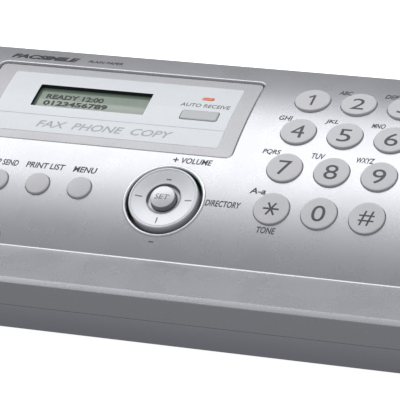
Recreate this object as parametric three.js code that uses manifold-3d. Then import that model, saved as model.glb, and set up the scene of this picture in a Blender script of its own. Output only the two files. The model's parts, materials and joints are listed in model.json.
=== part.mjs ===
// A desktop fax machine with a thermal film printer: a curved control panel that swings
// forward, a handset on a cradle at its left, and a paper support folded flat at the back.
// Millimetres, +Z up, -Y towards the user, origin at the middle of the footprint.
import * as THREE from "three";
import { mergeVertices } from "three/addons/utils/BufferGeometryUtils.js";
import Module from "manifold-3d";

const wasm = await Module();
wasm.setup();

// ---- Driving dimensions ----
const WIDTH = 355;
const DEPTH = 228;
const WALL = 2.4; // thickness of the moulded shells
const GAP = 0.35; // clearance between neighbouring pieces
const BASE_Z = 1.5; // underside of the case: the feet stand this proud of it
const SPLIT_Z = 10.5; // top of the bottom tray, where the shells above it begin

const LEFT = -WIDTH / 2;
const RIGHT = WIDTH / 2;
const FRONT = -DEPTH / 2;
const BACK = DEPTH / 2;
const CORNER_R = 7; // the rear corners, in plan and in side view
const PANEL_LEFT = LEFT + 80.3; // the handset's bay is to the left of this
const PANEL_RIGHT = RIGHT;

// The control panel is part of a cylinder whose axis runs along X.
const PANEL_R = 157.8;
const PANEL_AXIS = [30.7, -74.3]; // y, z
const REAR_SLOPE = THREE.MathUtils.degToRad(12.9);
const ROW_1_SLOPE = THREE.MathUtils.degToRad(21.2); // where arc length s is 0
const FOOT_SLOPE = THREE.MathUtils.degToRad(50.7);
const LEDGE_SLOPE = THREE.MathUtils.degToRad(13.8);
const EDGE_R = 2.6; // rounding between the ledge and the front face

// Keypad
const COLUMN = 18;
const ROW = 18.75;
const KEY_2_X = 82.75;
const ROW_1_S = -0.65;
const FUNCTION_S = 54.8; // the row of small round keys at the left
const KEY_TRAVEL_ROOM = 0.6;
const ROUND = 16; // sides of a small round piece

// Paper path: 216 mm sheets run between two frames that stand in the tray.
const PATH_LEFT = -73.5;
const PATH_RIGHT = 150.5;
const FRAME_T = 2.5;

// ---- Solids ----
function solid(geometry) {
  const bare = geometry.index ? geometry.toNonIndexed() : geometry.clone();
  bare.deleteAttribute("normal");
  bare.deleteAttribute("uv");
  const merged = mergeVertices(bare, 1e-4);
  return new wasm.Manifold(
    new wasm.Mesh({
      numProp: 3,
      vertProperties: merged.attributes.position.array,
      triVerts: new Uint32Array(merged.index.array),
    }),
  );
}

function geometryOf(body) {
  const mesh = body.getMesh();
  const positions = new Float32Array(mesh.numVert * 3);
  for (let i = 0; i < mesh.numVert; i++)
    positions.set(mesh.vertProperties.subarray(i * mesh.numProp, i * mesh.numProp + 3), i * 3);
  return new THREE.BufferGeometry()
    .setAttribute("position", new THREE.BufferAttribute(positions, 3))
    .setIndex(new THREE.BufferAttribute(mesh.triVerts, 1));
}

const join = (...bodies) => bodies.reduce((all, next) => all.add(next));
const cut = (body, ...tools) => tools.reduce((left, tool) => left.subtract(tool), body);

function extrude(points, depth, holes = []) {
  const shape =
    points instanceof THREE.Shape ? points : new THREE.Shape(points.map((p) => new THREE.Vector2(...p)));
  shape.holes.push(...holes);
  return new THREE.ExtrudeGeometry(shape, { depth, bevelEnabled: false, curveSegments: 4 });
}

// An outline of [y, z] points carried along X, of [x, z] points along Y, or of [x, y] points along Z.
const ALONG_X = new THREE.Matrix4().makeBasis(
  new THREE.Vector3(0, 1, 0), new THREE.Vector3(0, 0, 1), new THREE.Vector3(1, 0, 0));
const prismX = (points, x0, x1) => solid(extrude(points, x1 - x0).applyMatrix4(ALONG_X).translate(x0, 0, 0));
const prismZ = (points, z0, z1) => solid(extrude(points, z1 - z0).translate(0, 0, z0));

function box(x0, x1, y0, y1, z0, z1) {
  const shape = new THREE.BoxGeometry(x1 - x0, y1 - y0, z1 - z0);
  return solid(shape.translate((x0 + x1) / 2, (y0 + y1) / 2, (z0 + z1) / 2));
}

function rodX(radius, x0, x1, y, z, sides = 20) {
  const rod = new THREE.CylinderGeometry(radius, radius, x1 - x0, sides);
  return solid(rod.rotateZ(-Math.PI / 2).translate((x0 + x1) / 2, y, z));
}

function rodZ(radius, z0, z1, x = 0, y = 0, sides = ROUND) {
  const rod = new THREE.CylinderGeometry(radius, radius, z1 - z0, sides);
  return solid(rod.rotateX(Math.PI / 2).translate(x, y, (z0 + z1) / 2));
}

// Turns [radius, height] pairs about the local Z axis.
function turned(profile, sides = ROUND) {
  const points = profile.map(([r, h]) => new THREE.Vector2(r, h));
  return new THREE.LatheGeometry(points, sides).rotateX(Math.PI / 2);
}

// A roller on the X axis: a shaft, with rubber sleeves given as [x0, x1, radius].
function roller(shaftRadius, x0, x1, sleeves, y, z) {
  return join(
    rodX(shaftRadius, x0, x1, y, z, 12),
    ...sleeves.map(([a, b, radius]) => rodX(radius, a, b, y, z, 24)),
  );
}

function roundedRectangle(width, length, radius) {
  const [w, l] = [width / 2, length / 2];
  const shape = new THREE.Shape();
  shape.moveTo(-w + radius, -l);
  shape.lineTo(w - radius, -l);
  shape.absarc(w - radius, -l + radius, radius, -Math.PI / 2, 0);
  shape.lineTo(w, l - radius);
  shape.absarc(w - radius, l - radius, radius, 0, Math.PI / 2);
  shape.lineTo(-w + radius, l);
  shape.absarc(-w + radius, l - radius, radius, Math.PI / 2, Math.PI);
  shape.lineTo(-w, -l + radius);
  shape.absarc(-w + radius, -l + radius, radius, Math.PI, Math.PI * 1.5);
  return shape;
}

// ---- The panel's surface ----
const slopeAt = (s) => ROW_1_SLOPE + s / PANEL_R;
const onArc = (slope, radius = PANEL_R) => [
  PANEL_AXIS[0] - radius * Math.sin(slope),
  PANEL_AXIS[1] + radius * Math.cos(slope),
];

function arc(from, to, radius, steps) {
  return Array.from({ length: steps + 1 }, (_, i) => onArc(from + ((to - from) * i) / steps, radius));
}

// Places a body that is made in a key's own frame: Z out of the panel, Y up the panel.
function onPanel(body, x, s) {
  const [y, z] = onArc(slopeAt(s));
  return body.rotate([THREE.MathUtils.radToDeg(slopeAt(s)), 0, 0]).translate([x, y, z]);
}

// A curved slab that follows the panel between two depths below its surface.
function panelSlab(x0, x1, s0, s1, top, bottom) {
  const outline = [
    ...arc(slopeAt(s0), slopeAt(s1), PANEL_R - top, 8),
    ...arc(slopeAt(s1), slopeAt(s0), PANEL_R - bottom, 8),
  ];
  return prismX(outline, x0, x1);
}

// ---- Side outlines, as [y, z] points ----
const [FOOT_Y, FOOT_Z] = onArc(FOOT_SLOPE);
const [REAR_Y, REAR_Z] = onArc(REAR_SLOPE);
const ledgeZ = (y) => FOOT_Z + Math.tan(LEDGE_SLOPE) * (y - FOOT_Y);

function edgeRound(radius, faceY, drop, steps) {
  const centreY = faceY + radius;
  const centreZ = ledgeZ(centreY) - (radius + drop) / Math.cos(LEDGE_SLOPE);
  return Array.from({ length: steps + 1 }, (_, i) => {
    const turn = LEDGE_SLOPE + ((Math.PI / 2 - LEDGE_SLOPE) * i) / steps;
    return [centreY - radius * Math.sin(turn), centreZ + radius * Math.cos(turn)];
  });
}

const COVER_BOTTOM = SPLIT_Z + 0.5;
const coverOutside = [
  [REAR_Y, REAR_Z],
  ...arc(REAR_SLOPE, FOOT_SLOPE, PANEL_R, 14).slice(1),
  ...edgeRound(EDGE_R, FRONT, 0, 5),
  [FRONT, COVER_BOTTOM],
];
const INNER_FOOT_SLOPE = FOOT_SLOPE + THREE.MathUtils.degToRad(0.3);
const COVER_SKIRT_Z = 66;
const INNER_EDGE_R = 0.8;
const coverInside = [
  [FRONT + WALL, COVER_BOTTOM],
  ...edgeRound(INNER_EDGE_R, FRONT + WALL, WALL, 3).reverse(),
  ...arc(INNER_FOOT_SLOPE, REAR_SLOPE + 0.015, PANEL_R - WALL, 10),
  [REAR_Y - WALL, COVER_SKIRT_Z],
  [REAR_Y, COVER_SKIRT_Z],
];

// The cover's ends, the document path and the housing's front edges all follow this line.
const PATH_FOOT = [FRONT + WALL, COVER_BOTTOM];
const PATH_SLOPE = 0.502;
const pathZ = (y) => PATH_FOOT[1] + PATH_SLOPE * (y - PATH_FOOT[0]);
const band = (y0, y1, top, bottom) => [
  [y0, pathZ(y0) - bottom],
  [y1, pathZ(y1) - bottom],
  [y1, pathZ(y1) - top],
  [y0, pathZ(y0) - top],
];

// The housing's top falls away behind the panel.
const HOUSING_FRONT_Y = REAR_Y + 0.8;
const TOP_SLOPE = 0.265;
const topZ = (y) => 77 - TOP_SLOPE * (y - HOUSING_FRONT_Y);
const topBand = (y0, y1, top, bottom) => [
  [y0, topZ(y0) - bottom],
  [y1, topZ(y1) - bottom],
  [y1, topZ(y1) - top],
  [y0, topZ(y0) - top],
];

// ---- Control panel ----
const ROUND_KEYS = [
  ...["1", "2", "3", "4", "5", "6", "7", "8", "9", "star", "0", "hash"].map((name, i) => ({
    name: `key_${name}`,
    x: KEY_2_X + COLUMN * ((i % 3) - 1),
    s: ROW_1_S + ROW * Math.floor(i / 3),
    radius: 6.7,
    height: 1,
  })),
  ...["broadcast", "print_report", "menu"].map((name, i) => ({
    name: `key_${name}`,
    x: -44.25 + 16.8 * i,
    s: FUNCTION_S,
    radius: 4.65,
    height: 1.3,
  })),
  ...["redial", "flash", "mute", "monitor"].map((name, i) => ({
    name: `key_${name}`,
    x: 124.5,
    s: ROW_1_S + ROW * i,
    radius: 4.65,
    height: 1.3,
  })),
];
const PILL_KEYS = ["copy", "start", "stop"].map((name, i) => ({
  name: `key_${name}`,
  x: 153,
  s: 6 + 24.5 * i,
  width: 27,
  length: 12,
  height: 1.6,
}));
const NAV = { x: 23.2, s: 56.1, radius: 13.2, hole: 5.5, clearance: 1.7 };
const SET = { x: NAV.x, s: NAV.s, radius: 4.7, height: 2.8 };
const DISPLAY = { x: -11.2, s: 11.95, width: 108.6, length: 44.5, corner: 3.2, depth: 0.85 };
const LCD = { x: -21.1, s: 9.05, width: 46.2, length: 13 };
const LED = { x: 24.3, s: 2.8, width: 4.6, length: 1.6, corner: 0.75 };
const AUTO = { name: "key_auto_answer", x: 24, s: 13.1, width: 14.7, length: 5.2, height: -0.35 };
const FLANGE = { top: -3.1, bottom: -4.2, extra: 0.9 }; // what keeps a key from coming out of its hole
const SKIN = WALL + 2; // reaches right through the shell when it is cut

const throughPanel = (shape, x, s) => onPanel(solid(extrude(shape, 2 * SKIN)).translate([0, 0, -SKIN]), x, s);

function frontCover() {
  const shell = prismX([...coverOutside, ...coverInside], PANEL_LEFT, PANEL_RIGHT);
  const endOutline = [...coverOutside, PATH_FOOT, [REAR_Y, pathZ(REAR_Y)]];
  const ends = [
    prismX(endOutline, PANEL_LEFT, PANEL_LEFT + WALL),
    prismX(endOutline, PANEL_RIGHT - WALL, PANEL_RIGHT),
  ];
  const holes = [
    ...ROUND_KEYS.map((k) => onPanel(rodZ(k.radius + GAP, -SKIN, SKIN), k.x, k.s)),
    ...PILL_KEYS.map((k) =>
      throughPanel(roundedRectangle(k.width + 2 * GAP, k.length + 2 * GAP, k.length / 2), k.x, k.s)),
    onPanel(rodZ(NAV.radius + NAV.clearance, -SKIN, SKIN, 0, 0, 32), NAV.x, NAV.s),
    throughPanel(roundedRectangle(DISPLAY.width, DISPLAY.length, DISPLAY.corner), DISPLAY.x, DISPLAY.s),
  ];
  return cut(join(shell, ...ends), ...holes);
}

function displayPlate() {
  const outline = roundedRectangle(DISPLAY.width - 2 * GAP, DISPLAY.length - 2 * GAP, DISPLAY.corner - GAP);
  const half = DISPLAY.width / 2;
  const slab = panelSlab(DISPLAY.x - half, DISPLAY.x + half, -15, 40, DISPLAY.depth, DISPLAY.depth + 2);
  const plate = slab.intersect(
    onPanel(solid(extrude(outline, 12)).translate([0, 0, -8]), DISPLAY.x, DISPLAY.s));
  return cut(
    plate,
    throughPanel(roundedRectangle(LCD.width, LCD.length, 0.5), LCD.x, LCD.s),
    throughPanel(roundedRectangle(LED.width + 0.6, LED.length + 0.6, LED.corner + 0.3), LED.x, LED.s),
    throughPanel(roundedRectangle(AUTO.width + 2 * GAP, AUTO.length + 2 * GAP, 1), AUTO.x, AUTO.s),
  );
}

const lcdModule = () =>
  panelSlab(LCD.x - LCD.width / 2 - 4, LCD.x + LCD.width / 2 + 4, LCD.s - 10, LCD.s + 10,
    DISPLAY.depth + 2.3, DISPLAY.depth + 4.4);

const ledLens = () =>
  onPanel(
    solid(extrude(roundedRectangle(LED.width, LED.length, LED.corner), 3.2)).translate([0, 0, -3.85]),
    LED.x, LED.s);

const keyBoard = () =>
  cut(panelSlab(-52, 170, -7, 60, 6.5, 7.6), box(-46, 6, -60, -5, 55, 80));

const coverUnderplate = () =>
  prismX(band(FRONT + 29, REAR_Y - 4.2, -2.8, -1), PANEL_LEFT + WALL + GAP, PANEL_RIGHT - WALL - GAP);

// A round key: a domed cap, a straight side and the flange that keeps it in.
function roundKey({ radius, height }) {
  return turned([
    [0, FLANGE.bottom],
    [radius + FLANGE.extra, FLANGE.bottom],
    [radius + FLANGE.extra, FLANGE.top],
    [radius, FLANGE.top],
    [radius, height - 0.7],
    [radius - 0.6, height - 0.1],
    [0, height],
  ]);
}

function flatKey({ width, length, height }, corner, skirt = FLANGE) {
  const cap = solid(extrude(roundedRectangle(width, length, corner), height - skirt.top));
  const flange = solid(
    extrude(roundedRectangle(width + 2 * skirt.extra, length + 2 * skirt.extra, corner + skirt.extra),
      skirt.top - skirt.bottom + 0.2));
  return geometryOf(join(cap.translate([0, 0, skirt.top]), flange.translate([0, 0, skirt.bottom])));
}

const navKey = () =>
  turned([
    [NAV.hole, -2.6], [NAV.radius, -2.6], [NAV.radius, 1.1], [NAV.radius - 0.6, 1.7],
    [NAV.radius - 1.6, 1.2], [7.4, 0.7], [NAV.hole, -0.6], [NAV.hole, -2.6],
  ], 32);

// The ring that the navigation key rocks on sideways, and that itself rocks up and down.
const navGimbal = () => turned([[7.2, -5.1], [11, -5.1], [11, -3.4], [7.2, -3.4], [7.2, -5.1]], 24);

// ---- Housings ----
function trayOutline(inset) {
  const radius = CORNER_R - inset;
  const shape = new THREE.Shape();
  shape.moveTo(LEFT + inset, FRONT + inset);
  shape.lineTo(RIGHT - inset, FRONT + inset);
  shape.lineTo(RIGHT - inset, BACK - CORNER_R);
  shape.absarc(RIGHT - CORNER_R, BACK - CORNER_R, radius, 0, Math.PI / 2);
  shape.lineTo(LEFT + CORNER_R, BACK - inset);
  shape.absarc(LEFT + CORNER_R, BACK - CORNER_R, radius, Math.PI / 2, Math.PI);
  return shape;
}

const PLATEN = [-68, 14];
const TAKEUP = [-46, 27.5];
const SUPPLY = [-18, 27];
const DOCUMENT_ROLLER = [0, 57.2];
const PICKUP = [34, 24];
const SHAFT_R = 2.5;
const TRAY_FLOOR = BASE_Z + 2.2;
const RAMP_FOOT = [47, 12];
const RAMP_HEAD = [103, 39];
const VENTS = { x: [-60, -20, 20, 60, 100], y: [40, 50], length: 22, width: 3 }; // slots in the tray's floor
const EXIT_LEFT = PATH_LEFT - 0.9;
const EXIT_RIGHT = PATH_RIGHT + 3.9;

function bottomCase() {
  const tray = cut(
    prismZ(trayOutline(0), BASE_Z, SPLIT_Z),
    prismZ(trayOutline(WALL), TRAY_FLOOR, SPLIT_Z + 1),
    box(EXIT_LEFT - GAP, EXIT_RIGHT + GAP, FRONT - 1, FRONT + 3.6, 0, SPLIT_Z + 1),
    ...VENTS.x.flatMap((x) =>
      VENTS.y.map((y) => box(x, x + VENTS.length, y, y + VENTS.width, 0, TRAY_FLOOR + 1))),
  );
  const frameOutline = [
    [-104, TRAY_FLOOR - 0.5], [106, TRAY_FLOOR - 0.5], [106, RAMP_HEAD[1]], RAMP_HEAD, RAMP_FOOT,
    [44, 33], [9, 61], [-6.5, 61], [-12, pathZ(-12) - 8], [-104, pathZ(-104) - 6],
  ];
  const shafts = [PLATEN, TAKEUP, SUPPLY, DOCUMENT_ROLLER, PICKUP].map(([y, z]) =>
    rodX(SHAFT_R + GAP + 0.1, PATH_LEFT - 5, PATH_RIGHT + 5, y, z, 12));
  const frame = (x) => prismX(frameOutline, x, x + FRAME_T);
  const ramp = prismX(
    [RAMP_FOOT, [RAMP_FOOT[0] + 1, RAMP_FOOT[1] - 2.2], [RAMP_HEAD[0], RAMP_HEAD[1] - 2.4], RAMP_HEAD],
    PATH_LEFT - 1, PATH_RIGHT + 1);
  const posts = [[-60, -30], [140, -30], [-60, 30], [140, 30]].map(([x, y]) =>
    rodZ(3, TRAY_FLOOR - 0.5, TRAY_FLOOR + 1.8, x, y, 12));
  return cut(join(tray, frame(PATH_LEFT - FRAME_T), frame(PATH_RIGHT), ramp, ...posts), ...shafts);
}

const FLAP_FRONT = 28.5;
const FLAP_LEFT = PATH_LEFT - 0.5;
const FLAP_RIGHT = PATH_RIGHT + 3.5;
const FLAP_AXIS = [BACK - 6, 43.4];
const BARREL_R = 3.8;
const JACKS = { left: -71, right: -50, top: 22.2 };

// The rear corner of the two upper housings, from the top round to the back wall.
function rearCorner(y, z, steps = 4) {
  return Array.from({ length: steps + 1 }, (_, i) => {
    const turn = (Math.PI / 2) * (i / steps);
    return [y - CORNER_R + CORNER_R * Math.sin(turn), z - CORNER_R + CORNER_R * Math.cos(turn)];
  });
}

// What is cut away to leave a vertical rear corner round: the right one or the left one.
function cornerWaste(side) {
  const [inner, outer] = [side * (RIGHT - CORNER_R), side * (RIGHT + 1)];
  return cut(
    box(Math.min(inner, outer), Math.max(inner, outer), BACK - CORNER_R, BACK + 1, 0, 90),
    rodZ(CORNER_R, -1, 91, inner, BACK - CORNER_R, 24),
  );
}

function upperHousing() {
  const side = [
    [FRONT + 7, COVER_BOTTOM], [BACK, COVER_BOTTOM],
    ...rearCorner(BACK, topZ(BACK - CORNER_R)).reverse(),
    [HOUSING_FRONT_Y, topZ(HOUSING_FRONT_Y)], [HOUSING_FRONT_Y, pathZ(HOUSING_FRONT_Y) - 0.4],
    [FRONT + 7, pathZ(FRONT + 7) - 0.4],
  ];
  const bayTop = [
    ...topBand(HOUSING_FRONT_Y, BACK - CORNER_R, 0, WALL).slice(0, 2),
    [BACK - 4, topZ(BACK - 4) - WALL - 2], [BACK - 4, topZ(BACK - 4) - 1],
    [BACK - CORNER_R, topZ(BACK - CORNER_R)],
    [HOUSING_FRONT_Y, topZ(HOUSING_FRONT_Y)],
  ];
  const chute = [
    [-3.5, 61.4], [2, 63.6], [6, 65.5], [9.5, topZ(9.5) - 7], [27.4, topZ(27.4) - 7],
    [27.4, topZ(27.4) - 5], [9.5, topZ(9.5) - 5], [6, 67.5], [2, 65.6], [-3.5, 63.4],
  ];
  const bayLeft = PANEL_LEFT + WALL;
  const backWall = box(bayLeft - 1, PANEL_RIGHT - 7, BACK - 1.8, BACK, COVER_BOTTOM, 41);
  return cut(
    join(
      prismX(side, PANEL_LEFT, bayLeft),
      prismX(side, PANEL_RIGHT - WALL, PANEL_RIGHT),
      prismX(bayTop, bayLeft - 1, FLAP_LEFT - GAP),
      prismX(bayTop, FLAP_RIGHT + GAP, PANEL_RIGHT - 1),
      prismX(chute, bayLeft - 1, PANEL_RIGHT - 1),
      box(bayLeft - 1, FLAP_LEFT - GAP, BACK - 4.5, BACK - 0.5, 30, topZ(BACK - 4) - 1.5),
      box(FLAP_RIGHT + GAP, PANEL_RIGHT - 1, BACK - 4.5, BACK - 0.5, 30, topZ(BACK - 4) - 1.5),
      backWall,
    ),
    box(JACKS.left - GAP, JACKS.right + GAP, BACK - 6, BACK + 1, SPLIT_Z, JACKS.top + GAP),
    box(17.5, 62.5, -5, 4.8, 55, 70),
    cornerWaste(1),
  );
}

// The handset lies on a plane of its own, tilted up towards the back.
const CRADLE_X = -137.7;
const CRADLE_BACK = [96, 45.5]; // a point of the cradle's plane near the back wall
const CRADLE_TILT = Math.atan((CRADLE_BACK[1] - FOOT_Z) / (CRADLE_BACK[0] - FOOT_Y));
const CRADLE_Y = 2;
const cradleZ = (y) => FOOT_Z + Math.tan(CRADLE_TILT) * (y - FOOT_Y);
const CUP_Y = 67; // from the cradle's middle to the middle of each cup
const WELL = { width: 51, length: 46, depth: 6 };

function onCradle(body) {
  return body
    .rotate([THREE.MathUtils.radToDeg(CRADLE_TILT), 0, 0])
    .translate([CRADLE_X, CRADLE_Y, cradleZ(CRADLE_Y)]);
}

const HANDSET_JACK = { y0: -78, y1: -67.4, z0: 12.6, z1: 20, depth: 11 };
const BAY_RIGHT = PANEL_LEFT - 0.4;
const SPEAKER_SLOTS = { count: 5, z: 14.5, pitch: 3, height: 1.5, y0: -27, y1: -5 };
const MAINS_INLET = { left: -166, right: -146, bottom: 12, top: 26 };

function cradleHousing() {
  const outside = [
    [FRONT, COVER_BOTTOM], [BACK, COVER_BOTTOM], ...rearCorner(BACK, cradleZ(BACK - 10)).reverse(),
    [FOOT_Y, FOOT_Z], ...edgeRound(EDGE_R, FRONT, 0, 5),
  ];
  const inside = [
    [FRONT + WALL, COVER_BOTTOM - 1], [BACK - WALL, COVER_BOTTOM - 1],
    [BACK - WALL, cradleZ(BACK - 10) - 8], [BACK - 8, cradleZ(BACK - 10) - WALL - 0.2],
    [FOOT_Y, FOOT_Z - WALL], [FRONT + WALL + 2, ledgeZ(FRONT + WALL + 2) - WALL], [FRONT + WALL, 15],
  ];
  const shell = cut(
    prismX(outside, LEFT, BAY_RIGHT),
    prismX(inside, LEFT + WALL, BAY_RIGHT - WALL),
    cornerWaste(-1),
  );
  const wells = [-CUP_Y, CUP_Y].map((y) =>
    onCradle(box(-WELL.width / 2 - 2, WELL.width / 2 + 2, y - WELL.length / 2 - 2, y + WELL.length / 2 + 2,
      -WELL.depth - 2, -0.8)));
  const hollows = [-CUP_Y, CUP_Y].map((y) =>
    onCradle(solid(extrude(roundedRectangle(WELL.width, WELL.length, 8), WELL.depth + 4))
      .translate([0, y, -WELL.depth])));
  const jackBlock = box(LEFT + 1, LEFT + HANDSET_JACK.depth + 3, HANDSET_JACK.y0 - 2, HANDSET_JACK.y1 + 2,
    COVER_BOTTOM, HANDSET_JACK.z1 + 1.4);
  const { count, z, pitch, height, y0, y1 } = SPEAKER_SLOTS;
  const slots = Array.from({ length: count }, (_, i) =>
    box(LEFT - 1, LEFT + WALL + 1, y0, y1, z + pitch * i, z + pitch * i + height));
  return cut(
    join(shell, ...wells, jackBlock),
    ...hollows,
    box(
      LEFT - 1, LEFT + HANDSET_JACK.depth,
      HANDSET_JACK.y0, HANDSET_JACK.y1, HANDSET_JACK.z0, HANDSET_JACK.z1),
    ...slots,
    onCradle(box(-7, 7, CUP_Y - 4, CUP_Y + 4, -20, 0)),
    box(MAINS_INLET.left, MAINS_INLET.right, BACK - 5, BACK + 1, MAINS_INLET.bottom, MAINS_INLET.top),
  );
}

const hookSwitch = () =>
  onCradle(join(
    box(-6.5, 6.5, CUP_Y - 3.5, CUP_Y + 3.5, -12, -5.4),
    box(-10, 10, CUP_Y - 6, CUP_Y + 6, -14.5, -11.8),
  ));

// ---- Handset, in the cradle's frame ----
const HANDSET_HALF_WIDTH = 22.5;
const HANDSET_ROUND = 4; // rounding along the handset's long edges

function handset() {
  const under = [
    [-88, 0], [-86, -4], [-82, -5], [-53, -5], [-49, -2], [-45, 5], [-36, 10.5], [-16, 13],
    [16, 13], [36, 10.5], [45, 5], [49, -2], [53, -5], [82, -5], [86, -4], [88, 0],
  ];
  const over = [
    [91, 8], [89, 18], [80, 24.5], [50, 28.5], [0, 30.5], [-50, 28.5], [-80, 24.5], [-89, 18], [-91, 8],
  ];
  const shape = new THREE.Shape([...under, ...over].map((p) => new THREE.Vector2(...p)));
  const body = new THREE.ExtrudeGeometry(shape, {
    depth: 2 * (HANDSET_HALF_WIDTH - HANDSET_ROUND),
    bevelThickness: HANDSET_ROUND,
    bevelSize: 3,
    bevelOffset: -3,
    bevelSegments: 2,
  });
  return solid(body.applyMatrix4(ALONG_X).translate(-HANDSET_HALF_WIDTH + HANDSET_ROUND, 0, 0));
}

const HANDSET_SPLIT = [[-100, 8], [-60, 13], [0, 20.5], [60, 13], [100, 8]];
const shiftUp = (points, by) => points.map(([y, z]) => [y, z + by]);
const handsetLower = () =>
  onCradle(handset().intersect(
    prismX([[-100, -20], [100, -20], ...shiftUp(HANDSET_SPLIT, -0.15).reverse()], -40, 40)));
const handsetUpper = () =>
  onCradle(handset().intersect(
    prismX([...shiftUp(HANDSET_SPLIT, 0.2), [100, 60], [-100, 60]], -40, 40)));

// ---- Paper support, guides and covers ----
function paperSupport() {
  const plate = topBand(FLAP_FRONT, FLAP_AXIS[0] - 1, 0, 3.2);
  return cut(
    join(prismX(plate, FLAP_LEFT, FLAP_RIGHT), rodX(BARREL_R, FLAP_LEFT, FLAP_RIGHT, ...FLAP_AXIS, 20)),
    prismX(topBand(FLAP_FRONT - 2, 96, 1.3, 5), 5, 75),
    prismX(topBand(FLAP_FRONT - 2, 34, -1, 1), 30, 50), // finger notch in the free edge
  );
}

const supportExtension = () => prismX(topBand(FLAP_FRONT + 0.6, 94, 1.7, 3.2), 5.6, 74.4);

function documentGuide(outer, inner) {
  const wall = outer < inner ? [outer, outer + 1.8] : [outer - 1.8, outer];
  const foot = [Math.min(outer, inner), Math.max(outer, inner)];
  return join(
    prismX(topBand(11, 26.6, 3.2, 4.6), ...foot),
    prismX(topBand(11, 26.6, 0.8, 4.6), ...wall),
  );
}

const EXIT_AXIS = [FRONT + 1.3, 3.2];
const exitFlap = () =>
  join(
    box(EXIT_LEFT, EXIT_RIGHT, FRONT, FRONT + 2.2, BASE_Z + 0.4, SPLIT_Z),
    rodX(1.2, EXIT_LEFT, EXIT_RIGHT, ...EXIT_AXIS, 12),
  );

const FILM_COVER_AXIS = [-9.5, 57.2];
const filmCover = () =>
  join(
    prismX(band(-62, -10, 3.4, 5.6), PATH_LEFT + 0.8, PATH_RIGHT - 0.8),
    rodX(2.2, PATH_LEFT + 0.8, PATH_RIGHT - 0.8, ...FILM_COVER_AXIS, 14),
    ...[-30, 40, 110].map((x) => prismX(band(-60, -44, 5, 6.4), x, x + 2)),
  );

// ---- Printer and scanner ----
const thermalHead = () =>
  join(
    box(PATH_LEFT + 0.5, PATH_RIGHT - 0.5, -72.5, -63.5, 21.6, 23.4),
    box(PATH_LEFT + 0.5, PATH_RIGHT - 0.5, -71.5, -64.5, 23.2, 26.4),
  );
const scannerBar = () => prismX(band(-93, -80, 4, 7.4), PATH_LEFT + 0.5, PATH_RIGHT - 0.5);
const SHAFT_ENDS = [PATH_LEFT - 2.8, PATH_RIGHT + 2.8];
const SPOOL_FLANGE_R = 9;
const platenRoller = () =>
  roller(SHAFT_R, SHAFT_ENDS[0], PATH_RIGHT + 8.6, [[PATH_LEFT + 2, PATH_RIGHT - 2, 7]], ...PLATEN);

// A roll of film on its spool, which has a flange at the right.
const filmRoll = (radius, axis) =>
  roller(SHAFT_R, ...SHAFT_ENDS,
    [[PATH_LEFT + 4, PATH_RIGHT - 4, radius], [PATH_RIGHT - 4, PATH_RIGHT - 1, SPOOL_FLANGE_R]], ...axis);
const takeupRoll = () => filmRoll(7.6, TAKEUP);
const supplyRoll = () => filmRoll(12.5, SUPPLY);
const documentRoller = () => roller(SHAFT_R, ...SHAFT_ENDS, [[20, 60, 6]], ...DOCUMENT_ROLLER);
const pickupRoller = () => roller(SHAFT_R, ...SHAFT_ENDS, [[8, 30, 9], [50, 72, 9]], ...PICKUP);

// Spur gears of one module; phase turns the first tooth from +Y towards +Z.
const MODULE = 0.8;
const TEETH = { platen: 20, idler: 40, pinion: 12 };
const GEAR_X = [PATH_RIGHT + 3.2, PATH_RIGHT + 8.2];
const IDLER = [PLATEN[0] + 22.25, PLATEN[1] + 9];
const PINION = [IDLER[0] + 18.01, IDLER[1] + 10.4];

function gear(teeth, [y, z], bore, phase) {
  const pitch = (MODULE * teeth) / 2;
  const step = (2 * Math.PI) / teeth;
  // One tooth: its share of a step, and its share of the module.
  const flanks = [[-0.3, -1.1], [-0.13, 0.8], [0.13, 0.8], [0.3, -1.1]];
  const outline = [];
  for (let i = 0; i < teeth; i++)
    for (const [share, rise] of flanks) {
      const turn = phase + step * (i + share);
      const radius = pitch + rise * MODULE;
      outline.push([radius * Math.cos(turn), radius * Math.sin(turn)]);
    }
  const wheel = prismX(outline, ...GEAR_X).translate([0, y, z]);
  return cut(wheel, rodX(bore, GEAR_X[0] - 1, GEAR_X[1] + 1, y, z, 12));
}

// A tooth of the first gear points along the line of centres, and a gap of the second faces it.
const directionTo = (from, to) => Math.atan2(to[1] - from[1], to[0] - from[0]);
const platenPhase = directionTo(PLATEN, IDLER);
const idlerPhase = directionTo(IDLER, PLATEN) + Math.PI / TEETH.idler;
function pinionPhase() {
  const step = (2 * Math.PI) / TEETH.idler;
  // Teeth from the first one to the meeting point, then how far the nearest one is from the line of centres.
  const away = (directionTo(IDLER, PINION) - idlerPhase) / step;
  const offset = (away - Math.round(away)) * step;
  return directionTo(PINION, IDLER) + Math.PI / TEETH.pinion + (offset * TEETH.idler) / TEETH.pinion;
}

const MOTOR_X = [GEAR_X[1] + 1.2, RIGHT - WALL - 1];
const driveMotor = () =>
  join(
    rodX(11, ...MOTOR_X, ...PINION, 24),
    prismX([[-42, 18], [-14, 18], [-14, 26], [-22, 44], [-34, 44], [-42, 26]], MOTOR_X[0], MOTOR_X[0] + 1.5),
    rodX(1.6, GEAR_X[0], MOTOR_X[0] + 1, ...PINION, 12),
  );

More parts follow.
